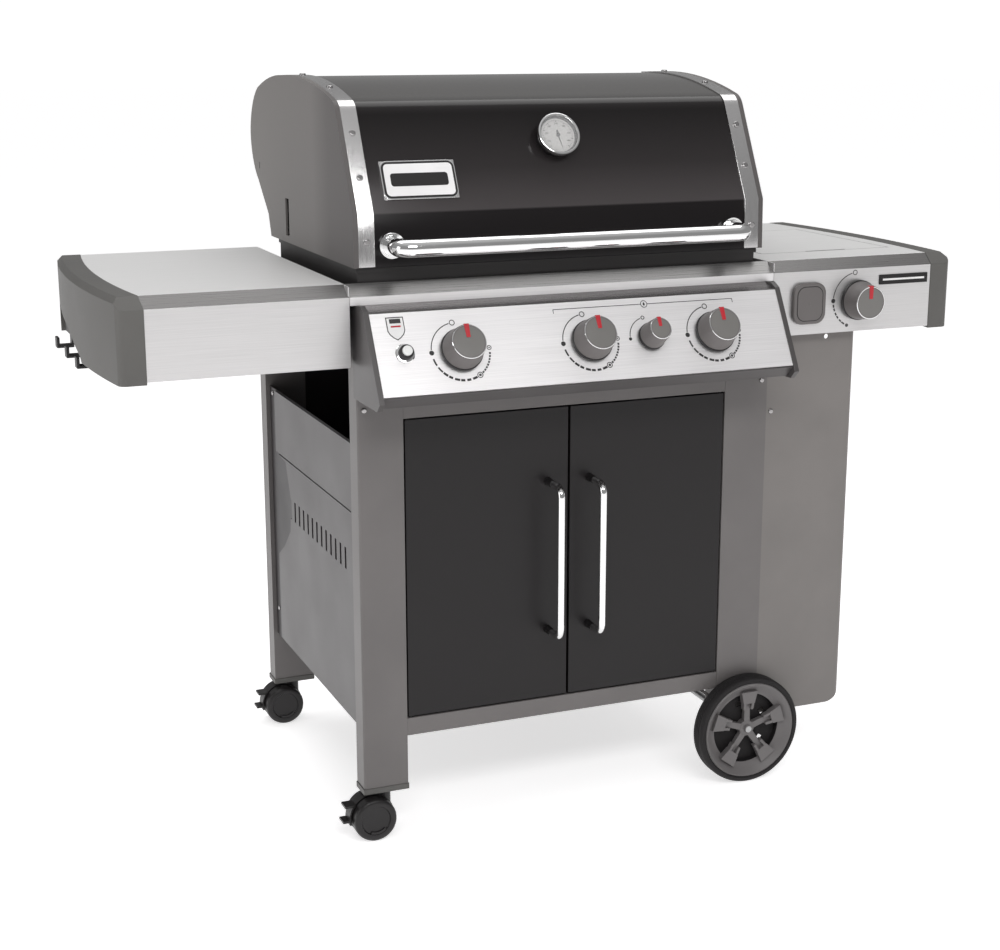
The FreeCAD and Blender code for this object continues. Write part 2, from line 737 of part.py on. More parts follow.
def build_side_burner():
    """Drip pan, burner head and pot grate under the side lid."""
    gap = side_lid_gap
    x0 = side_lid_left - gap
    x1 = side_lid_right + gap
    y0 = side_lid_front - gap
    y1 = side_lid_back + gap + 3.0
    top = table_top - sheet
    low = table_top - side_pan_depth
    rim = box(x0 - 10, x1 + 6, y0 - 10, y1 + 10, top - 2, top)
    pan = box(x0, x1, y0, y1, low, top)
    pan = join([rim, pan])
    pan = pan.cut(box(x0 + 2, x1 - 2, y0 + 2, y1 - 2, low + 2, top + 1))
    pin_y = side_lid_back - side_lid_pin_inset
    pin_z = table_top - side_lid_pin_drop
    pan = pan.cut(rod(Vec(x0 - 1, pin_y, pin_z), Vec(x1 + 1, pin_y, pin_z),
                      side_lid_pin_r + running_gap))
    mid = Vec((x0 + x1) / 2, (y0 + y1) / 2, low + 2)
    head = join([disc(mid, up, 30.0, 12.0), disc(mid + up * 12, up, 44.0, 8.0)])
    bars = []
    grate_z = table_top - side_lid_skirt - 9.0
    for x in (x0 + 50, mid.x - 40, mid.x + 40, x1 - 50):
        bars.append(box(x - 3, x + 3, y0 + 3, y1 - 3, grate_z, grate_z + 7))
    for y in (y0 + 40, y1 - 40):
        bars.append(box(x0 + 3, x1 - 3, y - 3, y + 3, grate_z, grate_z + 7))
    for x in (x0 + 50, x1 - 50):
        for y in (y0 + 40, y1 - 40):
            bars.append(box(x - 3, x + 3, y - 3, y + 3, low + 2, grate_z))
    nodes["side_burner"] = Part.makeCompound([pan, head, join(bars)])


def build_side_burner_lid():
    x0 = side_lid_left
    x1 = side_lid_right
    y0 = side_lid_front
    y1 = side_lid_back
    skirt_z = table_top - side_lid_skirt
    lid = box(x0, x1, y0, y1, skirt_z, table_top)
    lid = lid.cut(box(x0 + sheet, x1 - sheet, y0 + sheet, y1 + 1, skirt_z - 1, table_top - sheet))
    notch_x = (x0 + x1) / 2
    lid = lid.cut(box(notch_x - 42, notch_x + 42, y0 - 1, y0 + 5, skirt_z - 1, table_top + 1))
    pin = Vec(0, y1 - side_lid_pin_inset, table_top - side_lid_pin_drop)
    for x in (x0, x1 - 12):
        knuckle = rod(Vec(x, pin.y, pin.z), Vec(x + 12, pin.y, pin.z), 4.0)
        lid = join([lid, knuckle])
    for x in (x0 - 1, x1 - 12):
        lid = lid.cut(rod(Vec(x, pin.y, pin.z), Vec(x + 13, pin.y, pin.z),
                          side_lid_pin_r + running_gap))
    nodes["side_burner_lid"] = lid


# ---- console ------------------------------------------------------------
def build_control_panel():
    """Folded deck strip and, below its ledge, the sloping panel."""
    foot = on_panel(0, panel_height, 0)
    line = [(cookbox_front - 2, table_top), (bevel_depth, table_top), (0, bevel_foot),
            (0, bevel_foot - deck_band), (panel_top_y, panel_top_z), (foot.y, foot.z)]
    deck = folded_sheet(line[:4], sheet, -console_half, console_half)
    panel = folded_sheet(line[3:], sheet, -panel_half, panel_half)
    for x in (knob_middle_x - knob_pitch, knob_middle_x, small_knob_x, knob_middle_x + knob_pitch):
        panel = panel.cut(disc(on_panel(x, knob_down, -6), out_slope, 7.0, 12.0))
    panel = panel.cut(disc(on_panel(igniter_x, igniter_down, -6), out_slope, 12.2, 12.0))
    nodes["control_panel"] = Part.makeCompound([deck, panel])


def cheek_outline():
    top = bevel_foot - deck_band + 4.0
    brow = on_panel(0, -3, 1.6)
    chin = on_panel(0, panel_height - 2, 1.6)
    tuck = on_panel(0, panel_height + 12, 0.8)
    foot = table_top - 185.0
    return [(cart_front - 1.5, top - 4.5), (-1.0, top - 4.5), (-20, top - 2), (brow.y, brow.z),
            (chin.y, chin.z), (tuck.y, tuck.z), (tuck.y + 14, foot), (cart_front - 1.5, foot)]


def build_console_frame():
    """Side cheeks, the lip that wraps under the panel, and the ledges beside the cookbox."""
    cheeks = []
    for x in (-panel_half - cheek, panel_half):
        cheeks.append(side_prism(cheek_outline(), x, x + cheek))
    foot = on_panel(0, panel_height, 0)
    low = table_top - 183.1
    line = [(foot.y - 0.5, foot.z - 3.0), (foot.y + 19, low), (foot.y + 56, low)]
    lip = folded_sheet(line, 2.4, -panel_half, panel_half)
    ledges = []
    for x in (-console_half + 0.6, cookbox_half + 1.0):
        ledges.append(box(x, x + 22.4, cookbox_front, table_depth, table_top - 14, table_top - 12))
    nodes["console_frame"] = Part.makeCompound(cheeks + [lip] + ledges)


def knob(base, direction, scale):
    """Round knob: skirt, tapered grip with a rounded face, blind spindle hole."""
    start = base + direction * knob_gap
    skirt = disc(start, direction, knob_base_r * scale, 5.0)
    grip = Part.makeCone(knob_base_r * scale - 1.5, knob_face_r * scale, knob_height - 5.0,
                         start + direction * 5.0, direction)
    body = join([skirt, grip])
    face_r = knob_face_r * scale
    rim = [e for e in body.Edges if abs(e.Length - 2 * math.pi * face_r) < 0.5]
    body = body.makeFillet(2.0, rim)
    return body.cut(disc(start - direction, direction, spindle_r + running_gap, 23.0))


def spindle(base, direction):
    return disc(base + direction * (knob_gap + 20.0), -direction, spindle_r, spindle_length)


def knob_places():
    """Name, base point, direction and scale of every control."""
    places = []
    for name, x in (("left", knob_middle_x - knob_pitch), ("middle", knob_middle_x),
                    ("right", knob_middle_x + knob_pitch)):
        places.append((name, on_panel(x, knob_down, 0), out_slope, 1.0))
    places.append(("small", on_panel(small_knob_x, knob_down, 0), out_slope, small_knob_scale))
    places.append(("side", on_side_fascia(side_knob_x, side_knob_drop, 0), front, 1.0))
    return places


def build_knobs():
    for name, base, direction, scale in knob_places():
        nodes["knob_" + name] = knob(base, direction, scale)
        nodes["spindle_" + name] = spindle(base, direction)


def valve(base, direction):
    """Valve body behind the panel with a blind bore for its spindle."""
    body = disc(base - direction * 9.0, -direction, 11.0, 42.0)
    nose = disc(base - direction * 5.0, -direction, 7.5, 6.0)
    body = join([body, nose])
    return body.cut(disc(base - direction * 3.0, -direction, spindle_r + running_gap, 43.0))


def build_gas_manifold():
    pipe_r = 9.5
    pieces = []
    for name, base, direction, scale in knob_places():
        if name != "side":
            pieces.append(valve(base, direction))
    start = on_panel(knob_middle_x - knob_pitch - 18, knob_down, -48)
    end = on_panel(knob_middle_x + knob_pitch + 60, knob_down, -48)
    turn = Vec(end.x, cart_front + rail_depth + 40, end.z - 34)
    pieces.append(rod(start, end, pipe_r))
    drop = Vec(end.x, end.y, turn.z)
    pieces.append(rod(end, drop, pipe_r))
    pieces.append(Part.makeSphere(pipe_r, end))
    pieces.append(Part.makeSphere(pipe_r, drop))
    pieces.append(rod(drop, turn, pipe_r))
    pieces.append(Part.makeSphere(pipe_r, turn))
    low = Vec(turn.x, turn.y, door_opening_top + 6)
    pieces.append(rod(turn, low, pipe_r))
    pieces.append(disc(low - up * 8, up, 13.0, 12.0))
    inlet = disc(low - up * 26, up, 7.95, 20.0)
    manifold = join(pieces + [inlet])
    manifold = manifold.cut(disc(low - up * 27, up, 4.0, 20.0))
    for name, base, direction, scale in knob_places():
        bore = disc(base - direction * 3.0, -direction, spindle_r + running_gap, 43.0)
        manifold = manifold.cut(bore)
    side_base = on_side_fascia(side_knob_x, side_knob_drop, 0)
    side_valve = valve(side_base, front)
    elbow = rod(Vec(side_knob_x, 45, side_base.z), Vec(side_knob_x, side_lid_front + 60, side_base.z),
                6.0)
    side_valve = join([side_valve, elbow])
    side_valve = side_valve.cut(disc(side_base - front * 3.0, -front, spindle_r + running_gap, 43.0))
    nodes["gas_manifold"] = Part.makeCompound([manifold, side_valve])


def rounded_tile(x, z, width, height, radius, y0, y1):
    tile = box(x - width / 2, x + width / 2, y0, y1, z - height / 2, z + height / 2)

    def corner(edge):
        bound = edge.BoundBox
        return bound.YLength > abs(y1 - y0) - 0.01 and bound.XLength < 0.01
    return tile.makeFillet(radius, edges_at(tile, corner))


def build_panel_fittings():
    """Igniter socket with its bezel, sensor cover and blank name plate."""
    base = on_panel(igniter_x, igniter_down, 0)
    bezel = disc(base, out_slope, 16.0, 3.0)
    barrel = disc(base - out_slope * 26.0, out_slope, 12.0, 40.0)
    socket = join([bezel, barrel])
    socket = socket.cut(disc(base - out_slope * 22.0, out_slope, 8.3 + running_gap, 40.0))
    cover = rounded_tile(458.0, table_top - 75.5, 66.0, 73.0, 20.0, -10.0, 0.0)
    front_edges = edges_at(cover, lambda e: e.BoundBox.YMax < -9.9)
    cover = cover.makeFillet(2.5, front_edges)
    plate = rounded_tile(653.0, table_top - 41.0, 102.0, 17.5, 1.5, -2.0, 0.0)
    nodes["panel_fittings"] = Part.makeCompound([socket, cover, plate])


def build_igniter_button():
    base = on_panel(igniter_x, igniter_down, 0)
    button = disc(base - out_slope * 14.0, out_slope, 8.3, 32.0)
    rim = [e for e in button.Edges if e.BoundBox.ZMax > base.z + 10]
    nodes["igniter_button"] = button.makeFillet(1.5, rim[:1])


# ---- cookbox and what is in it ------------------------------------------
def frustum(half0, y0, y1, z0, half1, y2, y3, z1, middle_x):
    """Four-sided taper between two level rectangles."""
    wires = []
    for half, ya, yb, z in ((half0, y0, y1, z0), (half1, y2, y3, z1)):
        corners = [Vec(middle_x - half, ya, z), Vec(middle_x + half, ya, z),
                   Vec(middle_x + half, yb, z), Vec(middle_x - half, yb, z)]
        wires.append(Part.makePolygon(corners + corners[:1]))
    return Part.makeLoft(wires, True, True)


def tray_runner(side):
    """Angle runner that carries the grease tray."""
    x = tray_half + 1.5
    top = table_top - cookbox_drain_drop
    foot = top - tray_height - 1.5
    line = [(x, top), (x, foot), (x - 14, foot)]
    outline = line + offset_line(line, 2.5)[::-1]
    runner = front_prism(outline, 110.0, cookbox_back + 90)
    return runner if side > 0 else mirror_x(runner)


def build_cookbox():
    wall = cookbox_wall
    half = cookbox_half
    y0 = cookbox_front
    y1 = cookbox_back
    bend = table_top - cookbox_taper
    drain = table_top - cookbox_drain_drop
    body = box(-half, half, y0, y1, bend, cookbox_top)
    bowl = frustum(drain_half, drain_front, drain_back, drain, half, y0, y1, bend, 0)
    outer = join([body, bowl])
    rim = box(-half - 3, half + 3, y0 - 3, y1, cookbox_top - 7, cookbox_top)
    outer = join([outer, rim])
    room = box(-half + wall, half - wall, y0 + wall, y1 - wall, bend - 0.01, cookbox_top + 1)
    well = frustum(drain_half - wall, drain_front + wall, drain_back - wall, drain - 0.01,
                   half - wall, y0 + wall, y1 - wall, bend, 0)
    box_shell = outer.cut(join([room, well]))
    grate_z = table_top - grate_drop
    heat_z = table_top - 70.0
    shelves = []
    for z in (grate_z, heat_z):
        for ya, yb in ((y0 + wall - 1, y0 + wall + 9), (y1 - wall - 9, y1 - wall + 1)):
            shelves.append(box(-half + 2, half - 2, ya, yb, z - 5, z))
    ears = []
    pin_z = lid_base + lid_pin_up
    for x in (-341.0, 335.0):
        ear = box(x, x + 6, y1 - wall, lid_pin_y, pin_z - 6.5, pin_z + 6.5)
        neck = box(x, x + 6, y1 - wall, y1, cookbox_top - 20, pin_z + 6.5)
        eye = rod(Vec(x, lid_pin_y, pin_z), Vec(x + 6, lid_pin_y, pin_z), 6.5)
        ears += [ear, neck, eye]
    posts = []
    rack_z = lid_base + rack_height
    for x in (-332.0, 324.0):
        posts.append(box(x, x + 8, y1 - wall - 10, y1 - wall + 1, cookbox_top - 12, rack_z + 8))
    lugs = []
    for x in (-half, half - 14):
        lugs.append(box(x, x + 14, y0 + 40, y1 - 40, bend - cookbox_lug, bend + 1))
    shell = join([box_shell] + shelves + ears + posts + lugs)
    shell = join([shell, tray_runner(-1), tray_runner(1),
                  box(-tray_half - 4, -tray_half + 6, drain_front, drain_back, drain, drain + 8),
                  box(tray_half - 6, tray_half + 4, drain_front, drain_back, drain, drain + 8)])
    shell = shell.cut(well)
    for x in burner_xs():
        shell = shell.cut(rod(Vec(x, y0 - 4, table_top - burner_drop),
                              Vec(x, y0 + wall + 1, table_top - burner_drop), burner_r + 1.0))
    bar = rod(Vec(-360, y1 - wall - 6, rack_z), Vec(360, y1 - wall - 6, rack_z),
              rack_wire_r + running_gap)
    pin = rod(Vec(-360, lid_pin_y, pin_z), Vec(360, lid_pin_y, pin_z), lid_pin_r + running_gap)
    nodes["cookbox"] = shell.cut(bar).cut(pin)


def burner_xs():
    return [knob_middle_x - knob_pitch, knob_middle_x, small_knob_x, knob_middle_x + knob_pitch]


def build_burner_tubes():
    tubes = []
    z = table_top - burner_drop
    for x in burner_xs():
        tube = rod(Vec(x, cookbox_front - 8, z), Vec(x, cookbox_back - cookbox_wall - 0.5, z), burner_r)
        bore = rod(Vec(x, cookbox_front - 9, z), Vec(x, cookbox_back - cookbox_wall - 6, z),
                   burner_r - 1.5)
        tubes.append(tube.cut(bore))
    link_y = cookbox_front + 120
    xs = burner_xs()
    for x0, x1 in zip(xs, xs[1:]):
        tubes.append(box(x0 + burner_r + 0.3, x1 - burner_r - 0.3, link_y, link_y + 14, z - 2, z + 2))
    nodes["burner_tubes"] = Part.makeCompound(tubes)


def build_heat_bars():
    """Inverted V bars over the burners."""
    z = table_top - 70.0
    half = cookbox_half - cookbox_wall
    pitch = 2 * half / heat_bar_count
    bars = []
    for index in range(heat_bar_count):
        x = -half + pitch * (index + 0.5)
        line = [(x - 34, z), (x, z + 30), (x + 34, z)]
        outline = line + offset_line(line, -2.0)[::-1]
        bars.append(front_prism(outline, cookbox_front + cookbox_wall + 0.5,
                                cookbox_back - cookbox_wall - 0.5))
    lifted = [bar.translated(Vec(0, 0, 2.5)) for bar in bars]
    nodes["heat_bars"] = Part.makeCompound(lifted)


def build_cooking_grates():
    z = table_top - grate_drop
    half = cookbox_half - cookbox_wall - 2.0
    y0 = cookbox_front + cookbox_wall + 1.5
    y1 = cookbox_back - cookbox_wall - 12.0
    grates = []
    for x0, x1 in ((-half, -1.5), (1.5, half)):
        bars = []
        count = int((x1 - x0 - grate_bar) // grate_pitch)
        step = (x1 - x0 - grate_bar) / count
        for index in range(count + 1):
            x = x0 + index * step
            bars.append(box(x, x + grate_bar, y0, y1, z, z + grate_height))
        for y in (y0, (y0 + y1) / 2 - 4, y1 - 8):
            bars.append(box(x0, x1, y, y + 8, z, z + grate_height - 3))
        grates.append(join(bars))
    nodes["cooking_grates"] = Part.makeCompound(grates)


def build_warming_rack():
    """Wire rack that tucks down about its back wire."""
    z = lid_base + rack_height
    y1 = cookbox_back - cookbox_wall - 6
    y0 = y1 - rack_depth
    half = 318.0
    wires = [rod(Vec(-333, y1, z), Vec(333, y1, z), rack_wire_r)]
    for y in (y0, (y0 + y1) / 2):
        wires.append(rod(Vec(-half, y, z), Vec(half, y, z), rack_wire_r))
    count = 24
    for index in range(count + 1):
        x = -half + 2 * half * index / count
        wires.append(rod(Vec(x, y0, z), Vec(x, y1, z), 2.2))
    nodes["warming_rack"] = join(wires)


def build_grease_tray():
    """Tray on the runners below the drain, with a foil catch pan in it."""
    top = table_top - cookbox_drain_drop - 1.0
    low = top - tray_height
    y0 = 130.0
    y1 = cookbox_back + 108
    half = tray_half
    tray = box(-half, half, y0, y1, low, top)
    tray = tray.cut(box(-half + 2, half - 2, y0 + 2, y1 - 2, low + 2, top + 1))
    grip = box(-60, 60, y1, y1 + 10, top - 14, top - 8)
    tray = join([tray, grip])
    pan = box(-95, 95, 180, 350, low + 2, low + 27)
    pan = pan.cut(box(-93.5, 93.5, 181.5, 348.5, low + 3.5, low + 28))
    nodes["grease_tray"] = Part.makeCompound([tray, pan])


# ---- lid ----------------------------------------------------------------
def lid_outline(x, closed):
    """Side outline of the lid above its lower edge, as lines and arcs."""
    base = lid_base

    def at(y, rise):
        return Vec(x, y, base + rise)
    edges = [Part.LineSegment(at(22, 0), at(24, 84)), Part.LineSegment(at(24, 84), at(104, 240)),
             Part.Arc(at(104, 240), at(112, 250.5), at(124, 257)),
             Part.Arc(at(124, 257), at(265, 284), at(420, 288.5)),
             Part.Arc(at(420, 288.5), at(510, 281), at(585, 263)),
             Part.Arc(at(585, 263), at(631, 224), at(646, 183)),
             Part.Arc(at(646, 183), at(635, 137), at(600, 99)),
             Part.LineSegment(at(600, 99), at(534, 41)), Part.LineSegment(at(534, 41), at(518, 0)),
             Part.LineSegment(at(518, 0), at(22, 0))]
    wire = Part.Wire([edge.toShape() for edge in edges])
    return Part.Face(wire)


def lid_solid(x0, x1, grow):
    face = lid_outline(x0, True)
    if grow:
        face = face.makeOffset2D(grow, 2, False, False, False)
    return face.extrude(Vec(x1 - x0, 0, 0))


def build_hood():
    inner = lid_half - lid_end
    hood = lid_solid(-inner, inner, 0).cut(lid_solid(-inner - 1, inner + 1, -lid_wall))
    hood = hood.cut(box(-inner - 1, inner + 1, 22 + lid_wall, 518 - lid_wall,
                        lid_base - 5, lid_base + lid_wall + 0.5))
    nodes["hood"] = hood


def lid_end_right():
    x0 = lid_half - lid_end
    x_rim = lid_half - lid_rim
    body = lid_solid(x0, x_rim, 0)
    rim = lid_solid(x_rim, lid_half, trim_proud)
    rim = rim.cut(box(x_rim - 1, lid_half + 1, -10, 700, lid_base - 10, lid_base))
    plate = join([body, rim])
    hollow = lid_solid(x0 - 1, lid_half - lid_end_wall, -lid_end_wall)
    hollow = join([hollow, box(x0 - 1, lid_half - lid_end_wall, 22 + lid_end_wall,
                               518 - lid_end_wall - 3, lid_base - 5, lid_base + 8)])
    plate = plate.cut(hollow)
    pin_z = lid_base + lid_pin_up
    boss = rod(Vec(x0 + 0.5, lid_pin_y, pin_z), Vec(lid_half - 1, lid_pin_y, pin_z), 8.0)
    plate = join([plate, boss.common(lid_solid(x0, lid_half, 0))])
    slot = box(lid_half - 8, lid_half + 1, 396, 418, lid_base + 12, lid_base + 78)
    notch = box(lid_half - 8, lid_half + 1, 588, 592, lid_base + 118, lid_base + 130)
    plate = plate.cut(slot).cut(notch)
    return plate.cut(rod(Vec(x0 - 1, lid_pin_y, pin_z), Vec(lid_half - 4, lid_pin_y, pin_z),
                         lid_pin_r + running_gap))


def build_hood_ends():
    end = lid_end_right()
    nodes["hood_ends"] = Part.makeCompound([end, mirror_x(end)])


def slope_frame(rise):
    """Point and outward direction on the lid's sloping front."""
    run = 80.0
    climb = 156.0
    length = math.hypot(run, climb)
    point = Vec(0, 24 + (rise - 84) * run / climb, lid_base + rise)
    return point, Vec(0, -climb / length, run / length)


def build_hood_trims():
    """Bright strips along both ends of the hood, and a blank badge plate."""
    x_rim = lid_half - lid_rim
    x0 = x_rim - trim_width
    strip = lid_solid(x0, x_rim, trim_proud).cut(lid_solid(x0 - 1, x_rim + 1, 0))
    strip = strip.common(box(x0 - 1, x_rim + 1, -20, trim_back, lid_base + 1, lid_base + 400))
    point, direction = slope_frame(133.0)
    tangent = Vec(0, direction.z, -direction.y)
    corners = []
    for across, along in ((-0.5, -0.5), (0.5, -0.5), (0.5, 0.5), (-0.5, 0.5)):
        corners.append(Vec(badge_x + across * badge_width, point.y, point.z)
                       + tangent * (along * badge_height))
    badge = Part.Face(Part.makePolygon(corners + corners[:1])).extrude(direction * 3.0)
    nodes["hood_trims"] = Part.makeCompound([strip, mirror_x(strip), badge])


def dome_screw(point, direction, radius):
    head = disc(point, direction, radius, 3.0)
    rim = [e for e in head.Edges if e.isClosed()
           and abs((e.CenterOfMass - point).dot(direction) - 3.0) < 0.01]
    return head.makeFillet(2.0, rim)


def trim_screw_places():
    """Height above the lid's lower edge (front) or depth (top) of each screw."""
    places = [(Vec(0, 22.97, lid_base + 41.0), Vec(0, -84, 2.0).normalize())]
    for rise in (139.0, 207.0):
        places.append(slope_frame(rise))
    return places


def build_hood_screws():
    x = lid_half - lid_rim - trim_width / 2
    screws = []
    for side in (-1, 1):
        for point, direction in trim_screw_places():
            at = Vec(side * x, point.y, point.z) + direction * trim_proud
            screws.append(dome_screw(at, direction, 5.5))
        top_face = lid_outline(side * x, True).OuterWire
        for y in (202.0, 361.0):
            probe = Part.makeLine(Vec(side * x, y, lid_base + 200), Vec(side * x, y, lid_base + 400))
            hit = top_face.distToShape(probe)[1][0][0]
            other = Part.makeLine(Vec(side * x, y + 4, lid_base + 200),
                                  Vec(side * x, y + 4, lid_base + 400))
            step = top_face.distToShape(other)[1][0][0] - hit
            direction = Vec(0, -step.z, step.y).normalize()
            screws.append(dome_screw(hit + direction * (trim_proud + 0.03), direction, 5.5))
    nodes["hood_screws"] = Part.makeCompound(screws)


def build_hood_handle():
    """Tube across the hood, bent back at each end into a stepped boss."""
    z = lid_base + handle_up
    bend = handle_r + 6.0
    path = []
    surface = 22.5
    half = handle_half
    straight = Part.LineSegment(Vec(-half + bend, handle_y, z), Vec(half - bend, handle_y, z))
    turn = bend * (1 - math.sqrt(0.5))
    arc_left = Part.Arc(Vec(-half, handle_y + bend, z), Vec(-half + turn, handle_y + turn, z),
                        Vec(-half + bend, handle_y, z))
    arc_right = Part.Arc(Vec(half - bend, handle_y, z), Vec(half - turn, handle_y + turn, z),
                         Vec(half, handle_y + bend, z))
    leg_end = surface - boss_thick
    leg_left = Part.LineSegment(Vec(-half, leg_end, z), Vec(-half, handle_y + bend, z))
    leg_right = Part.LineSegment(Vec(half, handle_y + bend, z), Vec(half, leg_end, z))
    for curve in (leg_left, arc_left, straight, arc_right, leg_right):
        path.append(curve.toShape())
    ring = Part.Wire(Part.makeCircle(handle_r, Vec(-half, leg_end, z), back))
    tube = Part.Wire(path).makePipeShell([ring], True, True)
    bosses = []
    for side in (-1, 1):
        centre = Vec(side * half, surface, z)
        stepped = join([disc(centre, front, boss_r, boss_thick - 5),
                        disc(centre, front, boss_r - 4, boss_thick)])
        bosses.append(stepped.cut(lid_solid(-lid_half, lid_half, 0)))
    nodes["hood_handle"] = Part.makeCompound([tube] + bosses)


def build_thermometer():
    point, direction = slope_frame(gauge_up)
    tangent = Vec(0, direction.z, -direction.y)
    case = Part.makeCone(gauge_r - 6, gauge_r, gauge_height - 8, point, direction)
    bezel = disc(point + direction * (gauge_height - 8), direction, gauge_r, 8.0)
    case = join([case, bezel])
    face = point + direction * gauge_height
    case = case.cut(disc(face - direction * 7.0, direction, gauge_r - 4.0, 10.0))
    case = case.cut(disc(face - direction * 11.0, direction, needle_pin_r + running_gap, 5.0))
    nodes["thermometer_case"] = case
    lens_at = face - direction * 2.0
    nodes["thermometer_lens"] = disc(lens_at, direction, gauge_r - 4.05, 1.6)
    hub = disc(face - direction * 6.7, direction, 3.0, 3.6)
    pin = disc(face - direction * 10.5, direction, needle_pin_r, 4.0)
    centre = face - direction * 6.2
    side = right * 1.1
    tip = centre - tangent * 24.0 + right * 5.0
    corners = [centre - side, centre + side, tip]
    blade = Part.Face(Part.makePolygon(corners + corners[:1])).extrude(direction * 0.8)
    tail = Part.makeCone(2.2, 1.2, 9.0, centre + direction * 0.4, tangent)
    tail = tail.common(disc(centre, direction, 12.0, 0.8))
    nodes["thermometer_needle"] = join([hub, pin, blade, tail])


# ---- pins and screws ----------------------------------------------------
def build_hinge_pins():
    pin_z = lid_base + lid_pin_up
    pins = [rod(Vec(335, lid_pin_y, pin_z), Vec(365, lid_pin_y, pin_z), lid_pin_r),
            rod(Vec(-365, lid_pin_y, pin_z), Vec(-335, lid_pin_y, pin_z), lid_pin_r)]
    y = cart_front + 1.0 + door_pin_inset
    inset = door_gap + door_pin_inset
    for x in (left_leg_inner + inset, right_leg_inner - inset):
        pins.append(rod(Vec(x, y, rail_top), Vec(x, y, rail_top + 12), door_pin_r))
        pins.append(rod(Vec(x, y, door_opening_top - 12), Vec(x, y, door_opening_top), door_pin_r))
    z = table_top - fold_pin_drop
    pins.append(rod(Vec(fold_pin_x, fold_front, z), Vec(fold_pin_x, fold_front + fold_length, z),
                    fold_pin_r))
    pins.append(rod(Vec(fold_pin_x, table_depth - 76, z), Vec(fold_pin_x, table_depth - 24, z),
                    fold_pin_r))
    lid_y = side_lid_back - side_lid_pin_inset
    lid_z = table_top - side_lid_pin_drop
    pins.append(rod(Vec(side_lid_left - side_lid_gap, lid_y, lid_z),
                    Vec(side_lid_left + 10, lid_y, lid_z), side_lid_pin_r))
    pins.append(rod(Vec(side_lid_right - 10, lid_y, lid_z),
                    Vec(side_lid_right + side_lid_gap, lid_y, lid_z), side_lid_pin_r))
    nodes["hinge_pins"] = Part.makeCompound(pins)


def build_cart_screws():
    """Dome heads where panels, cheeks and cover are bolted to the legs."""
    screws = []
    bolt_z = table_top - 207.5
    for x, z in ((left_leg_x + 12, bolt_z), (right_leg_x - 11.5, bolt_z - 4),
                 (right_leg_x + 9, table_top - 269.5)):
        screws.append(dome_screw(Vec(x, cart_front, z), front, screw_r))
    for z in (side_panel_top - 10, side_panel_low + 60):
        screws.append(dome_screw(Vec(left_leg_x + 8.0, back_leg_front - 24, z), Vec(-1, 0, 0), screw_r))
    for z in (rail_low + 60, door_opening_top - 35, side_panel_low + 280):
        for x in (left_leg_inner - 40, right_leg_inner + 40):
            screws.append(dome_screw(Vec(x, cart_back, z), back, screw_r))
    nodes["cart_screws"] = Part.makeCompound(screws)


# ---- build and write ----------------------------------------------------
def build_all():
    build_legs()
    build_side_rails()
    build_foot_caps()
    build_front_rails()
    build_side_panel_left()
    build_side_panel_right()
    build_back_panel()
    build_bottom_shelf()
    build_tank_cover()
    build_axle()
    build_wheels()
    build_casters()
    build_doors()
    build_left_table()
    build_end_caps()
    build_tool_hooks()
    build_right_table()
    build_side_burner()
    build_side_burner_lid()
    build_control_panel()
    build_console_frame()
    build_knobs()
    build_gas_manifold()
    build_panel_fittings()
    build_igniter_button()
    build_cookbox()
    build_burner_tubes()
    build_heat_bars()
    build_cooking_grates()
    build_warming_rack()
    build_grease_tray()
    build_hood()
    build_hood_ends()
    build_hood_trims()
    build_hood_screws()
    build_hood_handle()
    build_thermometer()
    build_hinge_pins()
    build_cart_screws()


def write_all():
    os.makedirs("parts", exist_ok=True)
    bound = Part.makeCompound(list(nodes.values())).optimalBoundingBox(True, False)
    shift = Vec(-(bound.XMin + bound.XMax) / 2, -(bound.YMin + bound.YMax) / 2, -bound.ZMin)
    print("origin moved by", [round(value, 3) for value in shift])
    print("size", round(bound.XLength, 1), round(bound.YLength, 1), round(bound.ZLength, 1))
    for name, shape in nodes.items():
        shape.translated(shift).exportStep("parts/" + name + ".step")
    print(len(nodes), "nodes")
    return shift


build_all()
origin_shift = write_all()
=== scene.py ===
import json
import math

import bpy
from mathutils import Matrix, Vector

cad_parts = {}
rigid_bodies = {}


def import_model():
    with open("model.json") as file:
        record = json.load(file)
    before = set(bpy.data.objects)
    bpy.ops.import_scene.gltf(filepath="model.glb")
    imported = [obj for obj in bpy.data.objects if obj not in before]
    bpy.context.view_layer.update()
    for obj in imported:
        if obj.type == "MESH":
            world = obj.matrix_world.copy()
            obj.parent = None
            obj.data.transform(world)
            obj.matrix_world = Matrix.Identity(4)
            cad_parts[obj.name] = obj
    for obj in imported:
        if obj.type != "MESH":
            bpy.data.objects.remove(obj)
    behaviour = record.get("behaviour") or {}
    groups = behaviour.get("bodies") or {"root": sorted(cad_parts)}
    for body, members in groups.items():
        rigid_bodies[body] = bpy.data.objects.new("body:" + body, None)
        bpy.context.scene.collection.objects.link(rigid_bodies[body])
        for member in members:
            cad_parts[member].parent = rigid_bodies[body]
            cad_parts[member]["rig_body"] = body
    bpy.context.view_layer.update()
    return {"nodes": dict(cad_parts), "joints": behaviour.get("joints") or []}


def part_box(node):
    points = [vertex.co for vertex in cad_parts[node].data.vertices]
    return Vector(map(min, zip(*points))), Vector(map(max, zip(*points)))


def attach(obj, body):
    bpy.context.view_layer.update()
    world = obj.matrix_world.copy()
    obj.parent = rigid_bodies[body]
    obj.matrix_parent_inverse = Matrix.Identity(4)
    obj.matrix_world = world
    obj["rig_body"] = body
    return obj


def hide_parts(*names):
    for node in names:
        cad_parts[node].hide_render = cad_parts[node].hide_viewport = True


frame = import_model()
joints = {joint["name"]: joint for joint in frame["joints"]}
nodes = frame["nodes"]
print("frame loaded:", len(nodes), "pieces from the workshop model")


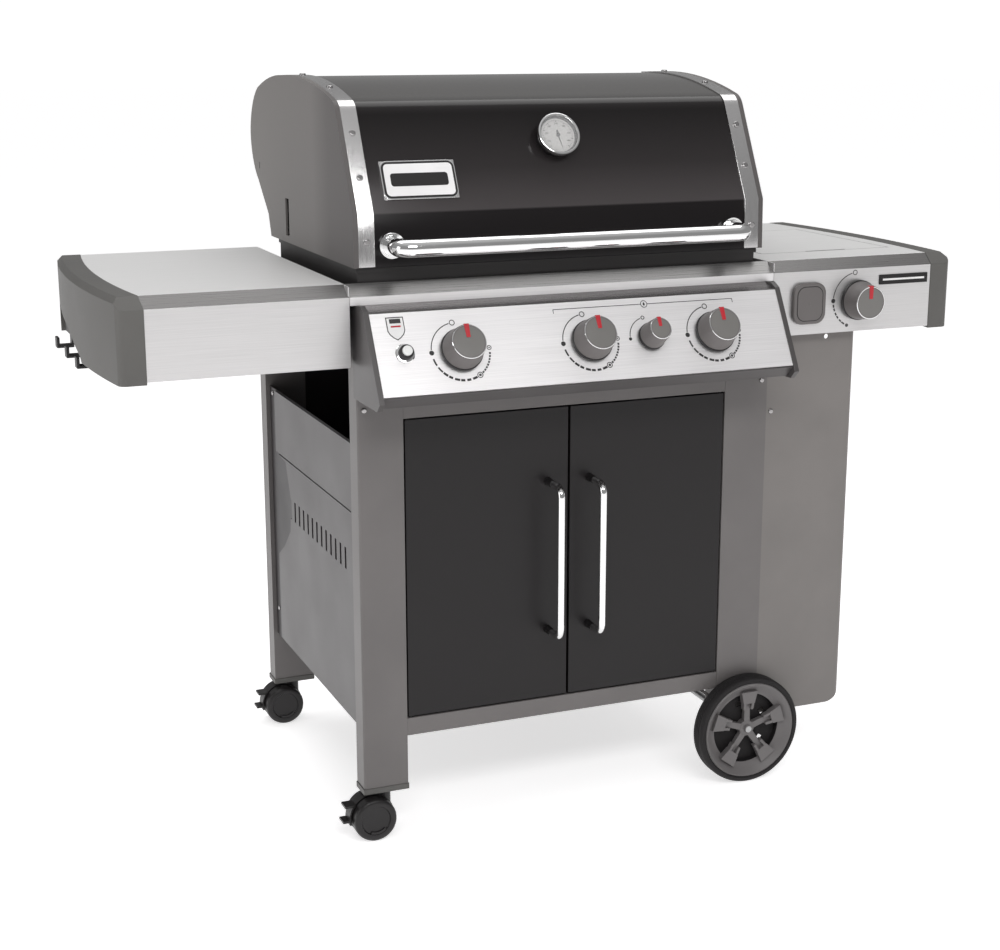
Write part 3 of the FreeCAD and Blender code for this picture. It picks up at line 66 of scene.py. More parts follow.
# Camera, floor and light
cameraSetup = {"place": (-1.2201, -2.9630, 1.3564), "tilt": 75.91, "turn": -22.32,
               "lens": 64.18, "shift": (-0.0062, 0.0007)}
cameraTurn = (math.radians(cameraSetup["tilt"]), 0, math.radians(cameraSetup["turn"]))
bpy.ops.object.camera_add(location=cameraSetup["place"], rotation=cameraTurn)
camera = bpy.context.active_object
camera.data.lens = cameraSetup["lens"]
camera.data.shift_x, camera.data.shift_y = cameraSetup["shift"]
camera.data.clip_end = 200
bpy.context.scene.camera = camera
bpy.context.scene.view_settings.view_transform = "Standard"  # whites stay white

studio = {"floorColour": (0.86, 0.855, 0.86), "floorGlow": 0.62, "horizon": 0.30, "zenith": 0.62,
          "wallGlow": 1.05, "aimHeight": 0.7,
          "keyPower": 70, "keyPlace": (-0.6, -3.4, 3.1), "keySize": (3.0, 0.9),
          "fillPower": 26, "fillPlace": (-4.4, -0.6, 1.4), "fillSize": (1.2, 2.2),
          "topPower": 70, "topPlace": (0.2, 0.9, 4.2), "topSize": (5.0, 2.6)}

bpy.ops.mesh.primitive_grid_add(x_subdivisions=8, y_subdivisions=8, size=60, location=(0, 10, 0))
floor = bpy.context.active_object
floor.name = "studioFloor"
floorMaterial = bpy.data.materials.new("paleFloor")
floorMaterial.use_nodes = True
floorShader = floorMaterial.node_tree.nodes["Principled BSDF"]
floorShader.inputs["Base Color"].default_value = (*studio["floorColour"], 1)
floorShader.inputs["Roughness"].default_value = 0.75
floorShader.inputs["Specular IOR Level"].default_value = 0.0
floorShader.inputs["Emission Color"].default_value = (1, 0.995, 0.995, 1)
floorShader.inputs["Emission Strength"].default_value = studio["floorGlow"]
floor.data.materials.append(floorMaterial)

world = bpy.data.worlds.new("studioSky")
bpy.context.scene.world = world
world.use_nodes = True
skyNodes = world.node_tree.nodes
skyLinks = world.node_tree.links
skyWay = skyNodes.new("ShaderNodeTexCoord")
skySplit = skyNodes.new("ShaderNodeSeparateXYZ")
skyRamp = skyNodes.new("ShaderNodeValToRGB")
skyLinks.new(skyWay.outputs["Generated"], skySplit.inputs[0])
skyLinks.new(skySplit.outputs["Z"], skyRamp.inputs["Fac"])
skyLinks.new(skyRamp.outputs["Color"], skyNodes["Background"].inputs["Color"])
skyRamp.color_ramp.elements[0].position = 0.50
skyRamp.color_ramp.elements[0].color = (studio["horizon"],) * 3 + (1,)
skyRamp.color_ramp.elements[1].position = 0.95
skyRamp.color_ramp.elements[1].color = (studio["zenith"],) * 3 + (1,)
whiteWall = skyNodes.new("ShaderNodeBackground")  # what the camera itself sees behind the floor
whiteWall.inputs["Color"].default_value = (1, 1, 1, 1)
whiteWall.inputs["Strength"].default_value = studio["wallGlow"]
rayKind = skyNodes.new("ShaderNodeLightPath")
skyMix = skyNodes.new("ShaderNodeMixShader")
skyLinks.new(rayKind.outputs["Is Camera Ray"], skyMix.inputs[0])
skyLinks.new(skyNodes["Background"].outputs[0], skyMix.inputs[1])
skyLinks.new(whiteWall.outputs[0], skyMix.inputs[2])
skyLinks.new(skyMix.outputs[0], skyNodes["World Output"].inputs[0])


def softBox(name, place, size, power):
    bpy.ops.object.light_add(type="AREA", location=place)
    lamp = bpy.context.active_object
    lamp.name = name
    lamp.data.shape = "RECTANGLE"
    lamp.data.size, lamp.data.size_y = size
    lamp.data.energy = power
    aim = Vector((0, 0, studio["aimHeight"])) - Vector(place)
    lamp.rotation_euler = aim.to_track_quat("-Z", "Y").to_euler()


for name in ("key", "fill", "top"):
    softBox(name + "Light", studio[name + "Place"], studio[name + "Size"], studio[name + "Power"])
print("camera, floor and lights set")


# Finishes
def newFinish(name, colour, rough, metal=0.0):
    finish = bpy.data.materials.new(name)
    finish.use_nodes = True
    shader = finish.node_tree.nodes["Principled BSDF"]
    shader.inputs["Base Color"].default_value = (*colour, 1)
    shader.inputs["Roughness"].default_value = rough
    shader.inputs["Metallic"].default_value = metal
    return finish, finish.node_tree, shader


def addGrain(tree, shader, scale, stretch, depth, distance, detail=4):
    place = tree.nodes.new("ShaderNodeTexCoord")
    mapping = tree.nodes.new("ShaderNodeMapping")
    mapping.inputs["Scale"].default_value = stretch
    noise = tree.nodes.new("ShaderNodeTexNoise")
    noise.inputs["Scale"].default_value = scale
    noise.inputs["Detail"].default_value = detail
    bump = tree.nodes.new("ShaderNodeBump")
    bump.inputs["Strength"].default_value = depth
    bump.inputs["Distance"].default_value = distance
    tree.links.new(place.outputs["Object"], mapping.inputs["Vector"])
    tree.links.new(mapping.outputs["Vector"], noise.inputs["Vector"])
    tree.links.new(noise.outputs["Fac"], bump.inputs["Height"])
    tree.links.new(bump.outputs["Normal"], shader.inputs["Normal"])
    return noise


def addColourDrift(tree, shader, low, high, scale, stretch=(1, 1, 1), band=(0.35, 0.65)):
    place = tree.nodes.new("ShaderNodeTexCoord")
    mapping = tree.nodes.new("ShaderNodeMapping")
    mapping.inputs["Scale"].default_value = stretch
    noise = tree.nodes.new("ShaderNodeTexNoise")
    noise.inputs["Scale"].default_value = scale
    noise.inputs["Detail"].default_value = 5
    ramp = tree.nodes.new("ShaderNodeValToRGB")
    ramp.color_ramp.elements[0].position = band[0]
    ramp.color_ramp.elements[1].position = band[1]
    ramp.color_ramp.elements[0].color = (*low, 1)
    ramp.color_ramp.elements[1].color = (*high, 1)
    tree.links.new(place.outputs["Object"], mapping.inputs["Vector"])
    tree.links.new(mapping.outputs["Vector"], noise.inputs["Vector"])
    tree.links.new(noise.outputs["Fac"], ramp.inputs["Fac"])
    tree.links.new(ramp.outputs["Color"], shader.inputs["Base Color"])
    return noise


def addRoughDrift(tree, shader, noise, low, high):
    spread = tree.nodes.new("ShaderNodeMapRange")
    spread.inputs["From Min"].default_value = 0.3
    spread.inputs["From Max"].default_value = 0.7
    spread.inputs["To Min"].default_value = low
    spread.inputs["To Max"].default_value = high
    tree.links.new(noise.outputs["Fac"], spread.inputs["Value"])
    tree.links.new(spread.outputs["Result"], shader.inputs["Roughness"])


def tinted(colour, share):
    return tuple(value * share for value in colour)


def paintFinish(name, colour, rough, grainScale=900, depth=0.12, shine=0.5):
    finish, tree, shader = newFinish(name, colour, rough)
    shader.inputs["Specular IOR Level"].default_value = shine
    drift = addColourDrift(tree, shader, tinted(colour, 0.93), tinted(colour, 1.07), 7)
    addGrain(tree, shader, grainScale, (1, 1, 1), depth, 0.0004)
    addRoughDrift(tree, shader, drift, rough - 0.04, rough + 0.05)
    return finish


def brushedFinish(name, colour, rough, stretch=(1.5, 260, 260), depth=0.10, metal=1.0):
    finish, tree, shader = newFinish(name, colour, rough, metal)
    streak = addColourDrift(tree, shader, tinted(colour, 0.92), tinted(colour, 1.06), 5, stretch,
                            (0.3, 0.7))
    addGrain(tree, shader, 7, stretch, depth, 0.0003)
    addRoughDrift(tree, shader, streak, rough - 0.05, rough + 0.07)
    return finish


def polishedFinish(name, colour, rough):
    finish, tree, shader = newFinish(name, colour, rough, 1.0)
    drift = addColourDrift(tree, shader, tinted(colour, 0.97), colour, 12)
    addRoughDrift(tree, shader, drift, rough, rough + 0.05)
    return finish


finishes = {
    "tableSteel": brushedFinish("tableSteel", (0.62, 0.61, 0.61), 0.34, metal=0.7),
    # painted light: a lighter copy of the table steel for the upward tops
    "steelPaintedLight": brushedFinish("steelPaintedLight", (0.80, 0.795, 0.79), 0.38, metal=0.25),
    # painted shade: a darker copy of the table steel for the sloping front bevels
    "steelPaintedShade": brushedFinish("steelPaintedShade", (0.150, 0.146, 0.144), 0.30, metal=0.7),
    # painted reflection: dark steel for the deck in front of the lid, standing in for the dark lid it mirrors
    "deckPaintedReflection": brushedFinish("deckPaintedReflection", (0.27, 0.265, 0.262), 0.30, metal=0.7),
    "panelSteel": brushedFinish("panelSteel", (0.80, 0.785, 0.79), 0.40, metal=0.6),
    # painted reflection: dark steel for the ledge under the deck, standing in for the dark lid it mirrors
    "ledgePaintedReflection": brushedFinish("ledgePaintedReflection", (0.20, 0.19, 0.19), 0.26, metal=0.8),
    "plainSteel": brushedFinish("plainSteel", (0.45, 0.44, 0.43), 0.34, (40, 40, 40)),
    "trimSteel": brushedFinish("trimSteel", (0.66, 0.65, 0.65), 0.20, (260, 260, 1.5), 0.04),
    "greyPaint": paintFinish("greyPaint", (0.125, 0.116, 0.114), 0.42),
    # painted shade: a darker copy of the legs' grey paint for the left side panel
    "sidePanelPaintedShade": paintFinish("sidePanelPaintedShade", (0.064, 0.059, 0.060), 0.42),
    # painted shade: near-black grey for the side panel's recess and for the back panel, right side panel and
    # bottom shelf
    "paintedShadeGrey": paintFinish("paintedShadeGrey", (0.022, 0.019, 0.020), 0.45),
    # painted shade: a darker copy of the legs' grey paint for the console frame
    "paintedShadeCheek": paintFinish("paintedShadeCheek", (0.060, 0.055, 0.055), 0.38),
    "coverPaint": paintFinish("coverPaint", (0.165, 0.153, 0.146), 0.45),
    "capPlastic": paintFinish("capPlastic", (0.090, 0.087, 0.082), 0.52, 1400, 0.25),
    "doorPaint": paintFinish("doorPaint", (0.011, 0.0095, 0.010), 0.38, shine=0.28),
    "blackPlastic": paintFinish("blackPlastic", (0.009, 0.008, 0.0085), 0.42, 1500, 0.2, 0.35),
    "casterPlastic": paintFinish("casterPlastic", (0.012, 0.0105, 0.011), 0.36, 1500, 0.15, 0.4),
    "rimPlastic": paintFinish("rimPlastic", (0.125, 0.117, 0.117), 0.46, 1500, 0.2),
    "tyreRubber": paintFinish("tyreRubber", (0.013, 0.0115, 0.012), 0.68, 1800, 0.4, 0.3),
    "knobGrey": paintFinish("knobGrey", (0.120, 0.110, 0.108), 0.42, 1600, 0.2),
    "knobFace": paintFinish("knobFace", (0.150, 0.145, 0.138), 0.34, 1600, 0.1),
    "knobRed": paintFinish("knobRed", (0.42, 0.012, 0.022), 0.35, 1600, 0.1),
    "inkBlack": paintFinish("inkBlack", (0.02, 0.018, 0.019), 0.5, 1600, 0.05),
    "inkWhite": paintFinish("inkWhite", (0.78, 0.77, 0.77), 0.45, 1600, 0.05),
    "dialSilver": paintFinish("dialSilver", (0.46, 0.45, 0.44), 0.40, 1600, 0.05),
    "buttonWhite": paintFinish("buttonWhite", (0.74, 0.74, 0.73), 0.25, 1600, 0.05),
    "cookboxPaint": paintFinish("cookboxPaint", (0.018, 0.016, 0.016), 0.50, 600, 0.35, 0.35),
    "innerMetal": paintFinish("innerMetal", (0.022, 0.021, 0.021), 0.55, 600, 0.3, 0.3),
    "grateEnamel": paintFinish("grateEnamel", (0.020, 0.020, 0.020), 0.42, 500, 0.5),
    "zinc": brushedFinish("zinc", (0.42, 0.42, 0.42), 0.42, (30, 30, 30)),
    "trayAluminium": brushedFinish("trayAluminium", (0.60, 0.60, 0.60), 0.35, (60, 3, 60)),
    "chrome": polishedFinish("chrome", (0.80, 0.80, 0.80), 0.05),
    "screwSteel": polishedFinish("screwSteel", (0.36, 0.35, 0.35), 0.18),
    "needleBlack": paintFinish("needleBlack", (0.03, 0.03, 0.03), 0.4, 1600, 0.1),
}


# Painted light and shade: colour that runs along one axis, standing in for the light, shade and reflections
# that change where a sheet turns to the light
def paintedShadingFinish(name, axis, stops, rough, shine):
    finish, tree, shader = newFinish(name, stops[0][1], rough)
    shader.inputs["Specular IOR Level"].default_value = shine
    place = tree.nodes.new("ShaderNodeTexCoord")
    split = tree.nodes.new("ShaderNodeSeparateXYZ")
    spread = tree.nodes.new("ShaderNodeMapRange")
    spread.inputs["From Min"].default_value = stops[0][0]
    spread.inputs["From Max"].default_value = stops[-1][0]
    ramp = tree.nodes.new("ShaderNodeValToRGB")
    reach = stops[-1][0] - stops[0][0]
    ramp.color_ramp.elements[1].position = 1.0
    ramp.color_ramp.elements[1].color = (*stops[-1][1], 1)
    ramp.color_ramp.elements[0].color = (*stops[0][1], 1)
    for height, colour in stops[1:-1]:
        ramp.color_ramp.elements.new((height - stops[0][0]) / reach).color = (*colour, 1)
    noise = addGrain(tree, shader, 700, (1, 1, 1), 0.05, 0.0003)
    addRoughDrift(tree, shader, noise, rough - 0.02, rough + 0.02)
    tree.links.new(place.outputs["Object"], split.inputs[0])
    tree.links.new(split.outputs[axis], spread.inputs["Value"])
    tree.links.new(spread.outputs["Result"], ramp.inputs["Fac"])
    tree.links.new(ramp.outputs["Color"], shader.inputs["Base Color"])
    finishes[name] = finish


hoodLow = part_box("hood")[0].z
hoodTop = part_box("hood")[1].z
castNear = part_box("hood_ends")[0].y
paintedHoodReflection = [  # height and colour, from the lid's lower edge to its top; the lighter bands at the bend and over the top are painted reflection and highlight
    (hoodLow, (0.011, 0.0095, 0.010)), (hoodLow + 0.083, (0.010, 0.0085, 0.009)),
    (hoodLow + 0.086, (0.058, 0.052, 0.053)), (hoodLow + 0.150, (0.026, 0.023, 0.0235)),
    (hoodLow + 0.235, (0.009, 0.0078, 0.008)), (hoodLow + 0.246, (0.016, 0.014, 0.0145)),
    (hoodLow + 0.262, (0.085, 0.082, 0.080)), (hoodTop, (0.060, 0.056, 0.055))]
paintedCastShade = [  # depth and colour, from the lid's front edge backwards; painted shade, darker towards the front of the cast ends and lighter towards the back
    (castNear, (0.085, 0.078, 0.077)), (castNear + 0.13, (0.098, 0.090, 0.088)),
    (castNear + 0.22, (0.155, 0.145, 0.140)), (castNear + 0.62, (0.165, 0.155, 0.148))]
paintedShadingFinish("enamelWithPaintedReflection", "Z", paintedHoodReflection, 0.14, 0.22)
paintedShadingFinish("castingPaintedShade", "Y", paintedCastShade, 0.50, 0.4)

glass, glassTree, glassShader = newFinish("gaugeGlass", (0.98, 0.98, 0.98), 0.02)
glassShader.inputs["Alpha"].default_value = 0.12
addGrain(glassTree, glassShader, 30, (1, 1, 1), 0.01, 0.001)
finishes["gaugeGlass"] = glass
print("finishes mixed:", len(finishes))


# Working helpers
def clearSelection():
    if bpy.context.object and bpy.context.object.mode != "OBJECT":
        bpy.ops.object.mode_set(mode="OBJECT")
    bpy.ops.object.select_all(action="DESELECT")


def makeActive(piece):
    clearSelection()
    piece.select_set(True)
    bpy.context.view_layer.objects.active = piece


def pickFaces(piece, test):
    makeActive(piece)
    bpy.ops.object.mode_set(mode="EDIT")
    bpy.ops.mesh.select_mode(type="FACE")
    bpy.ops.mesh.select_all(action="DESELECT")
    bpy.ops.object.mode_set(mode="OBJECT")
    for face in piece.data.polygons:
        face.select = test(face)
    bpy.ops.object.mode_set(mode="EDIT")


def pickEdges(piece, test):
    makeActive(piece)
    bpy.ops.object.mode_set(mode="EDIT")
    bpy.ops.mesh.select_mode(type="EDGE")
    bpy.ops.mesh.select_all(action="DESELECT")
    bpy.ops.object.mode_set(mode="OBJECT")
    for edge in piece.data.edges:
        start, end = (piece.data.vertices[index].co for index in edge.vertices)
        edge.select = test(start, end)
    bpy.ops.object.mode_set(mode="EDIT")


def dress(piece, finishName):
    piece.data.materials.clear()
    piece.data.materials.append(finishes[finishName])
    return piece


def roundEdges(piece, width, segments=2, angle=30):
    makeActive(piece)
    rounding = piece.modifiers.new("rounding", "BEVEL")
    rounding.width = width
    rounding.segments = segments
    rounding.limit_method = "ANGLE"
    rounding.angle_limit = math.radians(angle)
    rounding.harden_normals = False
    bpy.ops.object.modifier_apply(modifier="rounding")


def smooth(piece, angle=32):
    makeActive(piece)
    bpy.ops.object.shade_smooth_by_angle(angle=math.radians(angle))
    evening = piece.modifiers.new("evening", "WEIGHTED_NORMAL")
    evening.keep_sharp = True
    bpy.ops.object.modifier_apply(modifier="evening")


def joinPieces(pieces, name):
    clearSelection()
    for piece in pieces:
        piece.select_set(True)
    bpy.context.view_layer.objects.active = pieces[0]
    if len(pieces) > 1:
        bpy.ops.object.join()
    joined = bpy.context.active_object
    joined.name = name
    return joined


# Moves a piece made at the origin to its place and applies the move
def settle(piece, placing):
    makeActive(piece)
    piece.matrix_world = placing @ piece.matrix_world
    bpy.ops.object.transform_apply(location=True, rotation=True, scale=True)
    return piece


def handOver(piece, body, angle=32):
    smooth(piece, angle)
    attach(piece, body)
    return piece


# Place whose Z looks outward and whose Y runs up the surface
def standing(centre, outward, upward):
    zAxis = Vector(outward).normalized()
    yAxis = (Vector(upward) - zAxis * Vector(upward).dot(zAxis)).normalized()
    xAxis = yAxis.cross(zAxis)
    turn = Matrix((xAxis, yAxis, zAxis)).transposed().to_4x4()
    return Matrix.Translation(Vector(centre)) @ turn


# Round piece made like on a lathe: one circle, extruded ring by ring
def turnedPiece(name, rings, finishName, count=72, closed=False):
    clearSelection()
    firstRadius, firstHeight = rings[0]
    bpy.ops.mesh.primitive_circle_add(vertices=count, radius=firstRadius, location=(0, 0, firstHeight),
                                      fill_type="NOTHING" if closed else "NGON")
    piece = bpy.context.active_object
    piece.name = name
    bpy.ops.object.transform_apply(location=True)
    bpy.ops.object.mode_set(mode="EDIT")
    bpy.ops.mesh.select_all(action="SELECT")
    steps = rings[1:] + (rings[:1] if closed else [])
    last = rings[0]
    for radius, height in steps:
        lift = {"value": (0, 0, height - last[1])}
        if closed:
            bpy.ops.mesh.extrude_edges_move(TRANSFORM_OT_translate=lift)
        else:
            bpy.ops.mesh.extrude_region_move(TRANSFORM_OT_translate=lift)
        share = radius / last[0]
        bpy.ops.transform.resize(value=(share, share, 1), center_override=(0, 0, 0))
        last = (radius, height)
    bpy.ops.mesh.select_all(action="SELECT")
    bpy.ops.mesh.remove_doubles(threshold=0.000005)
    bpy.ops.mesh.normals_make_consistent(inside=False)
    bpy.ops.object.mode_set(mode="OBJECT")
    return dress(piece, finishName)


def slab(name, centre, size, finishName):
    clearSelection()
    bpy.ops.mesh.primitive_cube_add(size=1, location=centre)
    piece = bpy.context.active_object
    piece.name = name
    piece.scale = size
    bpy.ops.object.transform_apply(location=True, scale=True)
    return dress(piece, finishName)


def roundedSlab(name, centre, size, corner, finishName, lip=0.0):
    piece = slab(name, centre, size, finishName)
    pickEdges(piece, lambda start, end: abs(start.z - end.z) > size[2] * 0.9)
    bpy.ops.mesh.bevel(offset=corner, segments=8, affect="EDGES")
    bpy.ops.object.mode_set(mode="OBJECT")
    if lip:
        roundEdges(piece, lip, 3, 60)
    return piece


# Thin flat ring or arc; keep says which of its angles stay
def flatRing(name, radius, width, height, thick, finishName, keep=None, count=180):
    clearSelection()
    bpy.ops.mesh.primitive_circle_add(vertices=count, radius=radius + width / 2, location=(0, 0, height))
    piece = bpy.context.active_object
    piece.name = name
    bpy.ops.object.transform_apply(location=True)
    bpy.ops.object.mode_set(mode="EDIT")
    bpy.ops.mesh.select_all(action="SELECT")
    bpy.ops.mesh.extrude_edges_move(TRANSFORM_OT_translate={"value": (0, 0, 0)})
    share = (radius - width / 2) / (radius + width / 2)
    bpy.ops.transform.resize(value=(share, share, 1), center_override=(0, 0, height))
    bpy.ops.object.mode_set(mode="OBJECT")
    if keep:
        pickFaces(piece, lambda face: not keep(math.degrees(math.atan2(face.center.x, face.center.y))))
        bpy.ops.mesh.delete(type="FACE")
    bpy.ops.object.mode_set(mode="EDIT")
    bpy.ops.mesh.select_all(action="SELECT")
    bpy.ops.mesh.extrude_region_move(TRANSFORM_OT_translate={"value": (0, 0, thick)})
    bpy.ops.mesh.select_all(action="SELECT")
    bpy.ops.mesh.normals_make_consistent(inside=False)
    bpy.ops.object.mode_set(mode="OBJECT")
    return dress(piece, finishName)


# Copy of a workshop piece with eased edges and its own finishes
def workedCopy(nodeName, finishName, width, angle=28):
    source = nodes[nodeName]
    piece = bpy.data.objects.new(nodeName + "_dressed", source.data.copy())
    bpy.context.scene.collection.objects.link(piece)
    makeActive(piece)
    bpy.ops.object.mode_set(mode="EDIT")
    bpy.ops.mesh.select_all(action="SELECT")
    bpy.ops.mesh.remove_doubles(threshold=0.00001)
    bpy.ops.mesh.customdata_custom_splitnormals_clear()
    bpy.ops.mesh.dissolve_limited(angle_limit=math.radians(0.6))
    bpy.ops.object.mode_set(mode="OBJECT")
    if nodeName in cornerRounds:
        cornerTest, cornerSize = cornerRounds[nodeName]
        pickEdges(piece, cornerTest)
        bpy.ops.mesh.bevel(offset=cornerSize, segments=6, affect="EDGES")
        bpy.ops.object.mode_set(mode="OBJECT")
    if width:
        roundEdges(piece, width, 2, angle)
    dress(piece, finishName)
    # painted light and shade: faces picked by each test get a lighter or darker finish
    for paintedFinishName, test in paintedLightFaces.get(nodeName, []):
        piece.data.materials.append(finishes[paintedFinishName])
        place = len(piece.data.materials) - 1
        for face in piece.data.polygons:
            if test(face.center, face.normal):
                face.material_index = place
    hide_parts(nodeName)
    return handOver(piece, source["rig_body"], angle)


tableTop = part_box("right_table")[1].z
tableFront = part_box("right_table")[0].y
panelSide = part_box("side_panel_left")[0].x


# Face tests that pick where painted light and shade go
def onBevel(centre, normal):
    return normal.z > 0.3 and normal.y < -0.3


def onTop(centre, normal):
    return normal.z > 0.9 and centre.z > tableTop - 0.004


def onDeck(centre, normal):
    return centre.z > tableTop - 0.020 and normal.z > 0.3


def onLedge(centre, normal):
    return centre.z < tableTop - 0.028 and centre.y < tableFront + 0.002 and normal.z > 0.62


def frontUpright(start, end):
    upright = abs(start.z - end.z) > 0.05 and abs(start.x - end.x) < 0.001
    return upright and start.y < tableFront + 0.002


capCorner = 0.011  # radius of the end caps' outer front corners
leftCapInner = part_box("left_end_cap")[1].x - 0.03
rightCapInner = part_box("right_end_cap")[0].x + 0.03
cornerRounds = {
    "left_end_cap": (lambda start, end: frontUpright(start, end) and start.x < leftCapInner, capCorner),
    "right_end_cap": (lambda start, end: frontUpright(start, end) and start.x > rightCapInner, capCorner),
}

# Faces given painted light and shade: lighter table tops, darker bevels, dark painted reflections on the deck
# and ledge, and the side panel's recess in painted shade
paintedLightFaces = {
    "left_table": [("steelPaintedShade", onBevel), ("steelPaintedLight", onTop)],
    "right_table": [("steelPaintedShade", onBevel), ("steelPaintedLight", onTop)],
    "side_burner_lid": [("steelPaintedLight", onTop)],
    "control_panel": [("deckPaintedReflection", onDeck), ("ledgePaintedReflection", onLedge)],
    "side_panel_left": [("paintedShadeGrey", lambda centre, normal: centre.x > panelSide + 0.0015)],
}


# Workshop pieces that keep their own mesh
keptNodes = {
    "side_rails": "innerMetal", "back_panel": "paintedShadeGrey", "side_panel_right": "paintedShadeGrey",
    "bottom_shelf": "paintedShadeGrey", "axle": "zinc", "hinge_pins": "innerMetal", "cookbox": "cookboxPaint",
    "burner_tubes": "innerMetal", "heat_bars": "innerMetal", "cooking_grates": "grateEnamel",
    "gas_manifold": "innerMetal", "side_burner": "enamelWithPaintedReflection", "warming_rack": "plainSteel",
    "grease_tray": "trayAluminium", "thermometer_lens": "gaugeGlass", "thermometer_needle": "needleBlack",
    "cart_screws": "screwSteel", "hood_screws": "screwSteel", "caster_frame_front": "casterPlastic",
    "caster_frame_rear": "casterPlastic", "brake_lever_front": "casterPlastic",
    "brake_lever_rear": "casterPlastic", "spindle_left": "plainSteel", "spindle_middle": "plainSteel",
    "spindle_right": "plainSteel", "spindle_small": "plainSteel", "spindle_side": "plainSteel",
}
for nodeName, finishName in keptNodes.items():
    dress(nodes[nodeName], finishName)

copiedNodes = {
    "legs": ("greyPaint", "grey_paint", 0.0008), "foot_caps": ("capPlastic", "grey_plastic", 0.001),
    "front_rails": ("greyPaint", "grey_paint", 0.0008), "tank_cover": ("coverPaint", "cover_paint", 0.0006),
    "side_panel_left": ("sidePanelPaintedShade", "grey_paint", 0.0012), "left_table": ("tableSteel", "steel_top", 0.0012),
    "right_table": ("tableSteel", "steel_top", 0.0010),
    "left_end_cap": ("capPlastic", "grey_plastic", 0.0022),
    "right_end_cap": ("capPlastic", "grey_plastic", 0.0022),
    "tool_hooks": ("blackPlastic", "black_plastic", 0.001),
    "side_burner_lid": ("tableSteel", "steel_top", 0.0008),
    "control_panel": ("panelSteel", "panel_steel", 0.0010),
    "console_frame": ("paintedShadeCheek", "grey_paint", 0.0006), "hood": ("enamelWithPaintedReflection", "black_enamel", 0.0015),
    "hood_ends": ("castingPaintedShade", "lid_casting", 0.0018), "hood_handle": ("chrome", "bright_trim", 0.0006),
    "door_left": ("doorPaint", "door_paint", 0.0012), "door_right": ("doorPaint", "door_paint", 0.0012),
    "thermometer_case": ("blackPlastic", "gauge_black", 0.0004),
}
for nodeName, (finishName, slotName, width) in copiedNodes.items():
    workedCopy(nodeName, finishName, width)
print("sheet metal and castings dressed")


# Knobs and their dials
knobShape = {"skirt": 0.0355, "foot": 0.0340, "brow": 0.0288, "height": 0.0452, "gap": 0.0045,
             "pointerWide": 0.0086, "pointerLong": 0.0225}
dialShape = {"radius": 0.0490, "smallShare": 0.74, "lift": 0.00005, "height": 0.00025,
             "spotLine": 0.0013}
dialArcs = {  # from and to in degrees, line width, length of one dash and its gap
    "full": [(277, 346, 0.0016), (228, 262, 0.0028, 17), (157, 228, 0.0038, 12), (96, 141, 0.0032, 6)],
    "side": [(277, 346, 0.0015), (211, 262, 0.0028, 9)],
    "small": [(277, 342, 0.0014)],
}
dialSpots = {  # angle, radius, share that is filled
    "full": [(353, 0.0042, 0), (270, 0.0034, 0.9), (149, 0.0044, 0.5), (87, 0.0034, 0.35)],
    "side": [(353, 0.0040, 0), (270, 0.0034, 0.9), (203, 0.0024, 0.6)],
    "small": [(350, 0.0028, 0), (270, 0.0022, 0.8)],
}
upSlope = Vector((0, 0, 1))


